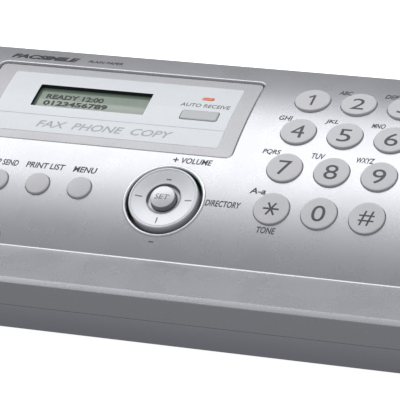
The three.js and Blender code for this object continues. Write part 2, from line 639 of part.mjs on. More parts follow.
function mainBoard() {
  const top = TRAY_FLOOR + 3.9;
  const jack = cut(
    box(JACKS.left, JACKS.right, 92, BACK - 0.4, top - 0.3, JACKS.top),
    box(JACKS.left + 1.4, JACKS.left + 9.6, BACK - 12, BACK + 1, 12.6, 20.6),
    box(JACKS.right - 9.6, JACKS.right - 1.4, BACK - 12, BACK + 1, 12.6, 20.6),
    box(JACKS.left - 1, JACKS.right + 1, BACK - 3, BACK, 0, SPLIT_Z + 0.8),
  );
  return join(
    box(PATH_LEFT + 1, PATH_RIGHT - 2, -38, 101, top - 1.6, top),
    jack,
    box(-20, 8, -10, 18, top - 0.3, top + 2.4),
    box(30, 46, -20, 6, top - 0.3, top + 2.4),
    rodZ(5, top - 0.3, top + 9, 80, 80, 14),
    box(100, 132, -24, -8, top - 0.3, top + 4),
  );
}

function powerSupply() {
  return cut(
    join(
      box(-171, -104, 34, 107, TRAY_FLOOR + 0.4, TRAY_FLOOR + 2),
      box(-168, -128, 40, 84, TRAY_FLOOR + 1.8, 25),
      box(-122, -108, 44, 92, TRAY_FLOOR + 1.8, 22),
      box(
        MAINS_INLET.left + 0.4, MAINS_INLET.right - 0.4,
        90, BACK - 0.6, TRAY_FLOOR + 1.8, MAINS_INLET.top - 0.4),
    ),
    box(MAINS_INLET.left + 3, MAINS_INLET.right - 3, BACK - 14, BACK + 1, 14, 23),
    box(MAINS_INLET.left, MAINS_INLET.right, BACK - 3, BACK, 0, MAINS_INLET.bottom + 0.4),
  );
}

const speaker = () => {
  const [x, y, z] = [LEFT + WALL + 0.6, -16, 21];
  return join(rodX(8.4, x, x + 4, y, z, 24), rodX(5.6, x + 3.8, x + 11, y, z, 20));
};

const FOOT = { halfLength: 150, halfWidth: 5 };
const foot = (y) =>
  box(-FOOT.halfLength, FOOT.halfLength, y - FOOT.halfWidth, y + FOOT.halfWidth, 0, BASE_Z - 0.05);

// ---- Materials ----
const paint = (color, roughness, metalness = 0) =>
  new THREE.MeshStandardMaterial({ color, roughness, metalness });
const SILVER = paint(0xb9bac0, 0.35, 0.6);
const CHARCOAL = paint(0x5c5b63, 0.5);
const KEY_GREY = paint(0xc2c0c6, 0.5);
const PLATE = paint(0xe2e8ee, 0.4);
const LCD_GREEN = paint(0x93a093, 0.3);
const ORANGE = paint(0xe0602a, 0.3);
const WHITE_PLASTIC = paint(0xd9dade, 0.5);
const SMOKE = paint(0x8f9096, 0.4);
const RUBBER = paint(0x2b2b2e, 0.9);
const FILM = paint(0x1c1c22, 0.3);
const STEEL = paint(0xb5b7ba, 0.35, 1);
const GEAR_WHITE = paint(0xe6e3d6, 0.6);
const BOARD = paint(0x2f6b45, 0.6);

const machine = new THREE.Group();

function place(name, shape, material, parent = machine) {
  const mesh = new THREE.Mesh(shape instanceof THREE.BufferGeometry ? shape : geometryOf(shape), material);
  mesh.name = name;
  parent.add(mesh);
  return mesh;
}

function placeOnPanel(name, geometry, material, { x, s }) {
  const mesh = place(name, geometry, material);
  mesh.position.set(x, ...onArc(slopeAt(s)));
  mesh.rotation.x = slopeAt(s);
}

// ---- Assembly ----
place("bottom_case", bottomCase(), CHARCOAL);
place("upper_housing", upperHousing(), SILVER);
place("cradle_housing", cradleHousing(), SILVER);
place("front_foot", foot(-94), RUBBER);
place("rear_foot", foot(96), RUBBER);
place("main_board", mainBoard(), BOARD);
place("power_supply", powerSupply(), BOARD);
place("drive_motor", driveMotor(), STEEL);
place("speaker", speaker(), STEEL);
place("thermal_head", thermalHead(), STEEL);
place("scanner_bar", scannerBar(), RUBBER);
place("platen_roller", platenRoller(), RUBBER);
place("platen_gear", gear(TEETH.platen, PLATEN, SHAFT_R + GAP, platenPhase), GEAR_WHITE);
place("idler_gear", gear(TEETH.idler, IDLER, 2.5, idlerPhase), GEAR_WHITE);
place("motor_pinion", gear(TEETH.pinion, PINION, 1.95, pinionPhase()), GEAR_WHITE);
place("film_takeup_roll", takeupRoll(), FILM);
place("film_supply_roll", supplyRoll(), FILM);
place("document_roller", documentRoller(), RUBBER);
place("pickup_roller", pickupRoller(), RUBBER);
place("film_cover", filmCover(), WHITE_PLASTIC);
place("exit_flap", exitFlap(), CHARCOAL);
place("paper_support", paperSupport(), SMOKE);
place("support_extension", supportExtension(), SMOKE);
place("document_guide_left", documentGuide(PATH_LEFT + 4, PATH_LEFT + 22), SMOKE);
place("document_guide_right", documentGuide(PATH_RIGHT - 1, PATH_RIGHT - 19), SMOKE);
place("handset_lower", handsetLower(), SILVER);
place("handset_upper", handsetUpper(), SILVER);
place("hook_switch", hookSwitch(), SMOKE);

place("front_cover", frontCover(), SILVER);
place("cover_underplate", coverUnderplate(), WHITE_PLASTIC);
place("key_board", keyBoard(), BOARD);
place("display_plate", displayPlate(), PLATE);
place("lcd_module", lcdModule(), LCD_GREEN);
place("led_lens", ledLens(), ORANGE);
for (const key of ROUND_KEYS) placeOnPanel(key.name, roundKey(key), KEY_GREY, key);
for (const key of PILL_KEYS) placeOnPanel(key.name, flatKey(key, key.length / 2 - 0.05), KEY_GREY, key);
placeOnPanel(AUTO.name, flatKey(AUTO, 0.8, { top: -3.7, bottom: -4.5, extra: 0.8 }), PLATE, AUTO);
placeOnPanel("key_set", roundKey({ radius: SET.radius, height: SET.height }), KEY_GREY, SET);
placeOnPanel("nav_gimbal", navGimbal(), WHITE_PLASTIC, NAV);
placeOnPanel("nav_key", navKey(), KEY_GREY, NAV);

export default machine;
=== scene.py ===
"""A desktop fax machine: its looks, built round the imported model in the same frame."""

import json
import math
from contextlib import contextmanager

import bmesh
import bpy
from mathutils import Matrix, Vector

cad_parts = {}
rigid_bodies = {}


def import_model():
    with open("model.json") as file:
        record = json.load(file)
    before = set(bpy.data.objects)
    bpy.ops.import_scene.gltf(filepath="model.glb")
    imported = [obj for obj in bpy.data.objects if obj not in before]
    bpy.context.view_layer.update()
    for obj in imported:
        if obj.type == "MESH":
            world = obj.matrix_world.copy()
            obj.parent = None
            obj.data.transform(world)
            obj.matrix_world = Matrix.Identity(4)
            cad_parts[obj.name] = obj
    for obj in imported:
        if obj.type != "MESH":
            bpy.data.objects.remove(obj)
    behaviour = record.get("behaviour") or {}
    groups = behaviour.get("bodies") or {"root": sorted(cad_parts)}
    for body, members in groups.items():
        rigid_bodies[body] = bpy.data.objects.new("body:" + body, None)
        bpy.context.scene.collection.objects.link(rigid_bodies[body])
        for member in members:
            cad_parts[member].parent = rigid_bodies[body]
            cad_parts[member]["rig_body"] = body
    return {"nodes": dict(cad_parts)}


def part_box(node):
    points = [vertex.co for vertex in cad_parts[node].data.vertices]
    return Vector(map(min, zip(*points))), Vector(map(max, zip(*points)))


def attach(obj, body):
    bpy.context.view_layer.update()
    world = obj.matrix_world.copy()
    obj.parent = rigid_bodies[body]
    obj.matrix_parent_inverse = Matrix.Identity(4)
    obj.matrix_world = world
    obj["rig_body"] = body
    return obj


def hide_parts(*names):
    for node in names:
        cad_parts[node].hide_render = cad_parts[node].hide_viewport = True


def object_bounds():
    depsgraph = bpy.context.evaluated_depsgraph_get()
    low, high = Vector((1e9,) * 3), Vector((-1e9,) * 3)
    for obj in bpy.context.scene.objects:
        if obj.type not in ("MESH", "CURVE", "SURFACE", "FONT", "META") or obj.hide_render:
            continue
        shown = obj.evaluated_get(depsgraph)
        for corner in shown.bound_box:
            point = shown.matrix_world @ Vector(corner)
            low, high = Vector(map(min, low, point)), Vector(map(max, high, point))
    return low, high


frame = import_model()
CAD_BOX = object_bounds()

# ------------------------ dimensions, in millimetres
MM = 0.001
FRONT = CAD_BOX[0][1] / MM
WALL = 2.4
KEY_GAP = 0.16
PANEL_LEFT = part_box("front_cover")[0].x / MM
PANEL_RIGHT = CAD_BOX[1][0] / MM
COVER_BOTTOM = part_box("front_cover")[0].z / MM
SKIRT_END = COVER_BOTTOM - 0.43  # the cover closes down onto the tray with a hairline gap

# The panel is part of a cylinder whose axis runs along X.
PANEL_R = 157.8
PANEL_AXIS = (30.7, -74.3)
REAR_SLOPE = math.radians(12.9)
ROW_1_SLOPE = math.radians(21.2)
FOOT_SLOPE = math.radians(50.7)
LEDGE_SLOPE = math.radians(13.8)
INNER_EDGE_R = 0.8
CHAMFER_SLOPE = math.radians(43.5)
CHAMFER_DEPTH = 1.75  # how far back the bevel along the front edge starts
CHAMFER_TOP_R, CHAMFER_FOOT_R = 0.12, 0.45
FILLET_R = 1.5  # the hollow round where the panel meets the ledge
REAR_EDGE_R = 1.3
COVER_END_R = 1.0
COVER_SKIRT_Z = 66.0  # the cover is open at the back below this
PATH_SLOPE = 0.502  # the rise per millimetre of the cover's underside, along the paper's path

# Places on the panel are (x, s): x across it, and s down it along its arc.
KEY_2_X, ROW_1_S, COLUMN, ROW = 82.75, -0.65, 18.0, 18.75
FUNCTION_X, FUNCTION_S, FUNCTION_PITCH = -44.25, 54.8, 16.8
SIDE_X = 124.5
PILL_X, PILL_S, PILL_PITCH = 153.0, 6, 24.5
DIGITS = ["1", "2", "3", "4", "5", "6", "7", "8", "9", "star", "0", "hash"]
FUNCTIONS = ["broadcast", "print_report", "menu"]
SIDE_KEYS = ["redial", "flash", "mute", "monitor"]
PILLS = ["copy", "start", "stop"]
DIAL_KEYS = {n: (KEY_2_X + COLUMN * (i % 3 - 1), ROW_1_S + ROW * (i // 3)) for i, n in enumerate(DIGITS)}
SMALL_KEYS = {n: (FUNCTION_X + FUNCTION_PITCH * i, FUNCTION_S) for i, n in enumerate(FUNCTIONS)}
SMALL_KEYS |= {n: (SIDE_X, ROW_1_S + ROW * i) for i, n in enumerate(SIDE_KEYS)}
PILL_KEYS = {n: (PILL_X, PILL_S + PILL_PITCH * i) for i, n in enumerate(PILLS)}
DIAL_R, DIAL_H, SMALL_R, SMALL_H = 6.7, 0.9, 4.65, 1.2
PILL_SIZE, PILL_CORNER, PILL_H = (27.0, 12.0), 5.95, 1.6
FLANGE, FLANGE_TOP, CAP_FOOT = 0.9, -3.1, -4.2  # a key's flange, and how far down its cap goes
CUT_FOOT, CUT_TOP = -6, 4  # a cutter for a hole in the panel starts and ends this far from it
NAV = (23.2, 56.1)
NAV_R, CUP_HOLE, NAV_CLEARANCE = 13.2, 5.05, 1.35
SET_R, SET_H = 4.7, 2.8
DISPLAY = (-11.2, 11.95)
DISPLAY_SIZE, DISPLAY_CORNER, DISPLAY_DEPTH = (108.4, 44.3), 2.4, 0.8
PLATE = (-10.6, 12.3)
PLATE_SIZE, PLATE_RISE = (93.9, 34.6), 0.08
LCD, LCD_SIZE, LCD_DEPTH = (-21.1, 9.05), (46.2, 13.0), 1.6
LED, LED_SIZE, LED_CORNER = (24.3, 2.8), (4.6, 1.6), 0.75
AUTO, AUTO_SIZE, AUTO_CORNER, AUTO_H = (24.0, 13.1), (14.7, 5.2), 0.9, -0.35


# ------------------------ the panel's surface
def slope_at(s):
    return ROW_1_SLOPE + s / PANEL_R


def on_arc(slope, radius=PANEL_R):
    return (PANEL_AXIS[0] - radius * math.sin(slope), PANEL_AXIS[1] + radius * math.cos(slope))


def panel_point(x, s, height=0.0):
    """A point that stands height above the panel, at x across it and arc length s down it."""
    return (x, *on_arc(slope_at(s), PANEL_R + height))


def wrapped(x, s, height=0.0):
    """Maps a flat drawing onto the panel: u to the right, v up the panel, w out of it."""
    return lambda u, v, w: panel_point(x + u, s - v, height + w)


def upright(x, s):
    """Maps a key's own frame to the model: u to the right, v up the panel, w out of it."""
    slope = slope_at(s)
    y0, z0 = on_arc(slope)
    sin, cos = math.sin(slope), math.cos(slope)
    return lambda u, v, w: (x + u, y0 + v * cos - w * sin, z0 + v * sin + w * cos)


FOOT_Y, FOOT_Z = on_arc(FOOT_SLOPE)
REAR_Y = on_arc(REAR_SLOPE)[0]


def ledge_z(y):
    return FOOT_Z + math.tan(LEDGE_SLOPE) * (y - FOOT_Y)


# ------------------------ meshes
@contextmanager
def editing(mesh):
    bm = bmesh.new()
    bm.from_mesh(mesh)
    yield bm
    bm.to_mesh(mesh)
    bm.free()


def mesh_object(name, points, faces, material, smooth=None):
    """points in millimetres. smooth is the sharpest angle, in degrees, that is shaded round."""
    mesh = bpy.data.meshes.new(name)
    mesh.from_pydata([Vector(p) * MM for p in points], [], faces)
    mesh.update()
    obj = bpy.data.objects.new(name, mesh)
    bpy.context.scene.collection.objects.link(obj)
    mesh.materials.append(material)
    with editing(mesh) as bm:
        bmesh.ops.recalc_face_normals(bm, faces=bm.faces)
    return shade(obj, smooth) if smooth else obj


def shade(obj, degrees):
    """Shades the mesh round wherever its faces meet at less than this angle."""
    with editing(obj.data) as bm:
        for face in bm.faces:
            face.smooth = True
        for edge in bm.edges:
            edge.smooth = edge.is_manifold and edge.calc_face_angle(0) < math.radians(degrees)
    return obj


def apply_modifiers(obj):
    bpy.context.view_layer.update()
    evaluated = obj.evaluated_get(bpy.context.evaluated_depsgraph_get())
    mesh = bpy.data.meshes.new_from_object(evaluated)
    obj.modifiers.clear()
    old = obj.data
    obj.data = mesh
    bpy.data.meshes.remove(old)
    return obj


def rounded_edges(obj, width, segments=3, angle=35, smooth=40):
    """Rounds the edges sharper than angle, with a radius of width in millimetres."""
    bevel = obj.modifiers.new("edges", "BEVEL")
    bevel.width = width * MM
    bevel.segments = segments
    bevel.limit_method = "ANGLE"
    bevel.angle_limit = math.radians(angle)
    bevel.use_clamp_overlap = True
    apply_modifiers(obj)
    return shade(obj, smooth) if smooth else obj


def carve(obj, cutters, operation="DIFFERENCE"):
    """Cuts the shapes out of obj, and throws them away."""
    group = bpy.data.collections.new("cutters")
    bpy.context.scene.collection.children.link(group)
    for cutter in cutters:
        group.objects.link(cutter)
    boolean = obj.modifiers.new("carve", "BOOLEAN")
    boolean.operation = operation
    boolean.solver = "EXACT"
    boolean.operand_type = "COLLECTION"
    boolean.collection = group
    boolean.material_mode = "TRANSFER"
    apply_modifiers(obj)
    for cutter in cutters:
        bpy.data.objects.remove(cutter)
    bpy.data.collections.remove(group)
    return obj


def prism(name, outline, x0, x1, material, mapping=None):
    """An outline across X carried along X."""
    n = len(outline)
    points = [(x, y, z) for x in (x0, x1) for y, z in outline]
    if mapping:
        points = [mapping(*p) for p in points]
    sides = [(i, (i + 1) % n, n + (i + 1) % n, n + i) for i in range(n)]
    return mesh_object(name, points, [tuple(range(n)), tuple(range(n, 2 * n)), *sides], material)


def loft(name, rings, material, smooth=None, mapping=None, closed=False):
    """Skins a list of equally long rings of points. The two end rings are capped unless the loft closes."""
    n = len(rings[0])
    points = [mapping(*p) if mapping else p for ring in rings for p in ring]
    faces = []
    last = len(rings) if closed else len(rings) - 1
    for i in range(last):
        a, b = i * n, ((i + 1) % len(rings)) * n
        faces += [(a + j, a + (j + 1) % n, b + (j + 1) % n, b + j) for j in range(n)]
    if not closed:
        faces += [tuple(range(n)), tuple(range(len(points) - n, len(points)))]
    return mesh_object(name, points, faces, material, smooth)


def turned(name, profile, material, mapping=None, sides=64, smooth=40, closed=False):
    """Turns [radius, height] pairs about the local w axis."""
    smallest = 0.002  # a ring on the axis keeps this radius, so that its points stay apart
    turns = [2 * math.pi * k / sides for k in range(sides)]
    rings = []
    for radius, height in profile:
        reach = max(radius, smallest)
        rings.append([(reach * math.cos(t), reach * math.sin(t), height) for t in turns])
    return loft(name, rings, material, smooth, mapping, closed)


def arc_points(cx, cy, radius, start, end, steps):
    """Points on an arc, the angles in degrees."""
    turns = [math.radians(start + (end - start) * i / steps) for i in range(steps + 1)]
    return [(cx + radius * math.cos(t), cy + radius * math.sin(t)) for t in turns]


def rounded_rectangle(width, length, radius, steps=8):
    w, h = width / 2 - radius, length / 2 - radius
    corners = [(w, -h, -90), (w, h, 0), (-w, h, 90), (-w, -h, 180)]
    return [p for cx, cy, start in corners for p in arc_points(cx, cy, radius, start, start + 90, steps)]


def slab(name, outline_at, levels, material, mapping=None, smooth=40):
    """Stacks outlines: levels is a list of (grow, height), and outline_at(grow) gives the outline."""
    rings = [[(u, v, height) for u, v in outline_at(grow)] for grow, height in levels]
    return loft(name, rings, material, smooth, mapping)


def grown_rectangle(size, radius, steps=8):
    """Gives the rounded rectangle's outline when it is asked for one that is grown on every side."""
    def outline(grow):
        return rounded_rectangle(size[0] + 2 * grow, size[1] + 2 * grow, max(radius + grow, 0.05), steps)

    return outline


def quarter_round(radius, steps=6):
    """(grow, height) pairs of a rounded rim that opens outwards up to height 0."""
    turns = [math.radians(90 * i / steps) for i in range(steps + 1)]
    return [(radius - radius * math.cos(a), -radius + radius * math.sin(a)) for a in turns]


def curved_slab(name, outline_at, levels, material, x, s, step=0.9):
    """A slab that follows the panel: made flat, sliced into strips, then laid on the curve."""
    obj = slab(name, outline_at, levels, material, smooth=None)
    lay = wrapped(x, s)
    with editing(obj.data) as bm:
        reach = max(v.co.y for v in bm.verts) / MM
        for i in range(1, int(2 * reach / step)):
            level = Vector((0, (step * i - reach) * MM, 0))
            geometry = bm.verts[:] + bm.edges[:] + bm.faces[:]
            bmesh.ops.bisect_plane(bm, geom=geometry, plane_co=level, plane_no=(0, 1, 0), dist=1e-7)
        for v in bm.verts:
            v.co = Vector(lay(*(v.co / MM))) * MM
    return obj


def add(obj, body, replaced=None):
    """Rides obj on a CAD body, and hides the CAD node that it stands for, if there is one."""
    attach(obj, body)
    if replaced:
        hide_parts(replaced)
    return obj


# ------------------------ materials
class Nodes:
    """A material's node tree, with short names for the nodes that the surfaces here share."""

    def __init__(self, name):
        self.material = bpy.data.materials.new(name)
        self.material.use_nodes = True
        self.tree = self.material.node_tree
        self.shader = self.tree.nodes["Principled BSDF"]
        self.place = self.tree.nodes.new("ShaderNodeTexCoord").outputs["Object"]

    def add(self, kind, **settings):
        node = self.tree.nodes.new(kind)
        for key, value in settings.items():
            setattr(node, key, value)
        return node

    def link(self, output, target):
        self.tree.links.new(output, target)

    def set(self, socket, value):
        """Gives the shader's socket a value, or feeds it from another node."""
        target = self.shader.inputs[socket]
        if isinstance(value, bpy.types.NodeSocket):
            self.link(value, target)
        else:
            target.default_value = value

    def noise(self, size_mm, detail=3.0, stretch=(1, 1, 1)):
        """Noise whose features are about size_mm across."""
        mapping = self.add("ShaderNodeMapping")
        mapping.inputs["Scale"].default_value = stretch
        self.link(self.place, mapping.inputs["Vector"])
        noise = self.add("ShaderNodeTexNoise")
        noise.inputs["Scale"].default_value = 1 / (size_mm * MM)
        noise.inputs["Detail"].default_value = detail
        self.link(mapping.outputs["Vector"], noise.inputs["Vector"])
        return noise.outputs["Fac"]

    def spread(self, value, low, high, start=0.3, end=0.7):
        """Carries a noise value from start..end to low..high."""
        node = self.add("ShaderNodeMapRange")
        node.inputs["From Min"].default_value = start
        node.inputs["From Max"].default_value = end
        node.inputs["To Min"].default_value = low
        node.inputs["To Max"].default_value = high
        self.link(value, node.inputs["Value"])
        return node.outputs["Result"]

    def blend(self, factor, low, high):
        mix = self.add("ShaderNodeMix", data_type="RGBA")
        for socket, value in (("A", low), ("B", high)):
            target = next(i for i in mix.inputs if i.name == socket and i.type == "RGBA")
            if isinstance(value, tuple):
                target.default_value = (*value, 1)
            else:
                self.link(value, target)
        self.link(factor, mix.inputs["Factor"])
        return next(o for o in mix.outputs if o.type == "RGBA")

    def bump(self, height, depth_mm, strength=1.0):
        node = self.add("ShaderNodeBump")
        node.inputs["Strength"].default_value = strength
        node.inputs["Distance"].default_value = depth_mm * MM
        self.link(height, node.inputs["Height"])
        self.link(node.outputs["Normal"], self.shader.inputs["Normal"])


def shades(colour, amount):
    return tuple(c * (1 - amount) for c in colour), tuple(c * (1 + amount) for c in colour)


def moulded(name, colour, roughness=0.5, grain_mm=0.35, grain_depth=0.02, variation=0.06, coat=0.0):
    """Moulded plastic: fine spark-eroded grain, faint mottling and uneven gloss."""
    n = Nodes(name)
    grain = n.noise(grain_mm, 4)
    mottle = n.noise(9, 4)
    tinted = n.blend(n.spread(mottle, 0, 1), *shades(colour, variation))
    speckled = n.blend(n.spread(grain, 0, 0.35), tinted, tuple(c * 0.8 for c in colour))
    n.set("Base Color", speckled)
    n.set("Roughness", n.spread(mottle, roughness - 0.06, roughness + 0.06))
    n.set("Coat Weight", coat)
    n.bump(grain, grain_depth, 0.5)
    return n.material


def metallic_paint(name, colour, roughness=0.34, metallic=0.8, flake=0.07):
    """Sprayed silver paint: fine flakes that differ in tone, and the slow waves of a sprayed coat."""
    n = Nodes(name)
    flakes = n.noise(0.28, 2)
    clouds = n.noise(14, 3)
    tone = n.blend(n.spread(flakes, 0, 1, 0.35, 0.65), *shades(colour, flake))
    tone = n.blend(n.spread(clouds, 0, 0.12), tone, tuple(c * 0.88 for c in colour))
    n.set("Base Color", tone)
    n.set("Roughness", n.spread(clouds, roughness - 0.02, roughness + 0.03))
    n.set("Metallic", metallic)
    n.bump(flakes, 0.01, 0.05)
    return n.material


def brushed(name, colour, roughness=0.3):
    n = Nodes(name)
    lines = n.noise(0.5, 3, (0.05, 1, 1))
    n.set("Base Color", n.blend(n.spread(lines, 0, 1), *shades(colour, 0.15)))
    n.set("Roughness", n.spread(lines, roughness - 0.08, roughness + 0.1))
    n.set("Metallic", 1.0)
    n.bump(lines, 0.01, 0.4)
    return n.material


def ink(name, colour):
    """Screen-printed ink, a little uneven."""
    n = Nodes(name)
    n.set("Base Color", n.blend(n.spread(n.noise(0.5), 0, 1), *shades(colour, 0.15)))
    n.set("Roughness", n.spread(n.noise(0.8), 0.45, 0.6))
    return n.material


def lit_lens(name, colour, glow):
    n = Nodes(name)
    n.set("Base Color", n.blend(n.spread(n.noise(1.2), 0, 1), *shades(colour, 0.12)))
    n.set("Roughness", n.spread(n.noise(0.6), 0.2, 0.35))
    n.set("Emission Color", (*colour, 1))
    n.set("Emission Strength", glow)
    n.set("Coat Weight", 0.4)
    return n.material


SILVER = metallic_paint("silver_paint", (0.47, 0.474, 0.50), 0.27)
RIM = SILVER.copy()  # the walls of the cover's holes and of its hollow
RIM.name = "silver_paint_rim"
TRAY_SILVER = metallic_paint("tray_paint", (0.40, 0.404, 0.44), 0.36)
KEY_GREY = moulded("key_plastic", (0.75, 0.75, 0.775), 0.42, variation=0.03)
AUTO_GREY = moulded("auto_key_plastic", (0.66, 0.68, 0.69), 0.42, variation=0.02)
NAV_SILVER = metallic_paint("key_silver", (0.78, 0.80, 0.83), 0.3, 0.2, 0.05)
BEZEL = metallic_paint("nav_bezel_silver", (0.72, 0.73, 0.76), 0.22, 0.7, 0.04)
BORDER = metallic_paint("display_border_paint", (0.54, 0.54, 0.56), 0.42, 0.3, 0.1)
PLATE_PAINT = moulded("display_plate_plastic", (0.90, 0.945, 0.98), 0.35, 0.5, 0.004, 0.015, 0.2)
LCD_GLASS = moulded("lcd_glass", (0.205, 0.275, 0.21), 0.16, 0.8, 0.002, 0.05, 0.6)
LCD_FRAME = moulded("lcd_frame_plastic", (0.012, 0.015, 0.016), 0.4)
LENS = lit_lens("led_lens", (0.72, 0.14, 0.025), 0.25)
# A darker silver that paints shade: on part of the nav key's cup wall and on the SET key's side.
PAINTED_SHADE_SILVER = metallic_paint("key_silver_shade", (0.30, 0.30, 0.32), 0.4, 0.5, 0.05)
TITLE_INK = ink("black_ink", (0.022, 0.02, 0.026))
INK = ink("dark_grey_ink", (0.055, 0.05, 0.06))
DIGIT_INK = ink("key_ink", (0.085, 0.085, 0.095))
TICK_INK = ink("mid_grey_ink", (0.22, 0.22, 0.25))
PALE_INK = ink("pale_grey_ink", (0.52, 0.55, 0.58))
LCD_INK = ink("lcd_segments", (0.035, 0.045, 0.04))
WHITE_PLASTIC = moulded("off_white_plastic", (0.62, 0.62, 0.63), 0.5)
SMOKE = moulded("smoke_plastic", (0.20, 0.20, 0.215), 0.38, 0.6, 0.002, 0.05, 0.1)
RUBBER = moulded("black_rubber", (0.018, 0.018, 0.02), 0.75, 0.3, 0.04, 0.2)
FILM = moulded("transfer_film", (0.008, 0.008, 0.011), 0.18, 1.5, 0.01, 0.3, 0.5)
STEEL = brushed("plain_steel", (0.55, 0.56, 0.58))
GEAR = moulded("acetal", (0.76, 0.74, 0.67), 0.4, 0.6, 0.01, 0.03)
BOARD = moulded("circuit_board", (0.02, 0.13, 0.06), 0.35, 1.2, 0.02, 0.2, 0.3)
CONNECTOR = moulded("connector_plastic", (0.03, 0.03, 0.033), 0.4)


# ------------------------ camera, lights and floor
CAMERA_AT = (376.5, -1005.9, 330.1)
CAMERA_ELEVATION, CAMERA_AZIMUTH = 16.04, 20.0
LENS_MM, SENSOR_MM = 254.45, 36
NEAR, FAR = 0.05, 50
STRIPS_AIM = (60, -60, 60)
# The panel mirrors each strip between two of its slopes, in degrees, with a radiance.
STRIPS = (
    ("main_strip", 24.2, 39.2, 2.2),
    ("rear_strip", 19.8, 24.2, 0.8),
    ("front_strip", 39.2, 45.4, 0.66),
)
# The studio's grey from straight below, 0, to straight above, 1.
STUDIO_GREYS = ((0.0, 0.26), (0.36, 0.33), (0.47, 0.38), (0.62, 0.43), (0.85, 0.45), (1.0, 0.45))
BACKDROP_GLOW, FLOOR_GLOW = 1.05, 0.92
FLOOR_HALF = 3000


def make_camera():
    data = bpy.data.cameras.new("camera")
    data.lens = LENS_MM
    data.sensor_width = SENSOR_MM
    data.clip_start = NEAR
    data.clip_end = FAR
    camera = bpy.data.objects.new("camera", data)
    camera.location = Vector(CAMERA_AT) * MM
    camera.rotation_euler = (math.radians(90 - CAMERA_ELEVATION), 0, math.radians(CAMERA_AZIMUTH))
    bpy.context.scene.collection.objects.link(camera)
    bpy.context.scene.camera = camera


def softbox(name, aim, direction, distance, size, radiance):
    """A soft area light that faces aim from a direction, with a surface radiance."""
    data = bpy.data.lights.new(name, "AREA")
    data.shape = "RECTANGLE"
    data.size, data.size_y = size
    data.energy = radiance * math.pi * size[0] * size[1]
    light = bpy.data.objects.new(name, data)
    away = Vector(direction).normalized()
    side = Vector((1, 0, 0))
    up = away.cross(side).normalized()
    side = up.cross(away)
    light.matrix_world = Matrix.Translation(Vector(aim) * MM + away * distance) @ Matrix(
        (side, up, away)).transposed().to_4x4()
    bpy.context.scene.collection.objects.link(light)


def strip(name, first, last, radiance, distance=4.0, width=4.4):
    """A softbox that the panel mirrors towards the camera between two of its slopes, in degrees."""
    azimuth, elevation = math.radians(CAMERA_AZIMUTH), math.radians(CAMERA_ELEVATION)
    view = Vector((math.sin(azimuth) * math.cos(elevation), -math.cos(azimuth) * math.cos(elevation),
                   math.sin(elevation)))
    slope = math.radians((first + last) / 2)
    normal = Vector((0, -math.sin(slope), math.cos(slope)))
    direction = 2 * normal.dot(view) * normal - view
    length = 2 * distance * math.tan(math.radians(last - first))
    softbox(name, STRIPS_AIM, direction, distance, (width, length), radiance)


def make_world():
    """White where the camera looks past the machine, and a soft grey studio for everything else."""
    world = bpy.data.worlds.new("studio")
    bpy.context.scene.world = world
    world.use_nodes = True
    tree = world.node_tree
    tree.nodes.clear()
    new, link = tree.nodes.new, tree.links.new
    place = new("ShaderNodeTexCoord")
    split = new("ShaderNodeSeparateXYZ")
    ramp = new("ShaderNodeValToRGB")
    lift = new("ShaderNodeMapRange")
    lift.inputs["From Min"].default_value = -1
    studio = new("ShaderNodeBackground")
    white = new("ShaderNodeBackground")
    white.inputs["Color"].default_value = (1, 1, 1, 1)
    white.inputs["Strength"].default_value = BACKDROP_GLOW
    choose = new("ShaderNodeMixShader")
    path = new("ShaderNodeLightPath")
    out = new("ShaderNodeOutputWorld")
    elements = ramp.color_ramp.elements
    while len(elements) < len(STUDIO_GREYS):
        elements.new(0.5)
    for element, (at, level) in zip(elements, STUDIO_GREYS):
        element.position = at
        element.color = (level, level, level * 1.03, 1)
    link(place.outputs["Generated"], split.inputs["Vector"])
    link(split.outputs["Z"], lift.inputs["Value"])
    link(lift.outputs["Result"], ramp.inputs["Fac"])
    link(ramp.outputs["Color"], studio.inputs["Color"])
    link(path.outputs["Is Camera Ray"], choose.inputs["Fac"])
    link(studio.outputs["Background"], choose.inputs[1])
    link(white.outputs["Background"], choose.inputs[2])
    link(choose.outputs["Shader"], out.inputs["Surface"])


def make_floor():
    n = Nodes("floor_paper")
    n.set("Base Color", n.blend(n.noise(40), (0.80, 0.80, 0.80), (0.82, 0.82, 0.82)))
    n.set("Roughness", 0.9)
    n.set("Specular IOR Level", 0.0)
    n.set("Emission Color", (1, 1, 1, 1))
    n.set("Emission Strength", FLOOR_GLOW)
    corners = [(FLOOR_HALF * u, FLOOR_HALF * v, 0) for u, v in ((-1, -1), (1, -1), (1, 1), (-1, 1))]
    floor = mesh_object("floor", corners, [(0, 1, 2, 3)], n.material)
    floor.visible_glossy = False
    floor.visible_diffuse = False


def make_studio():
    scene = bpy.context.scene
    scene.view_settings.view_transform = "Standard"
    scene.view_settings.look = "None"
    make_camera()
    make_world()
    make_floor()
    for name, first, last, radiance in STRIPS:
        strip(name, first, last, radiance)


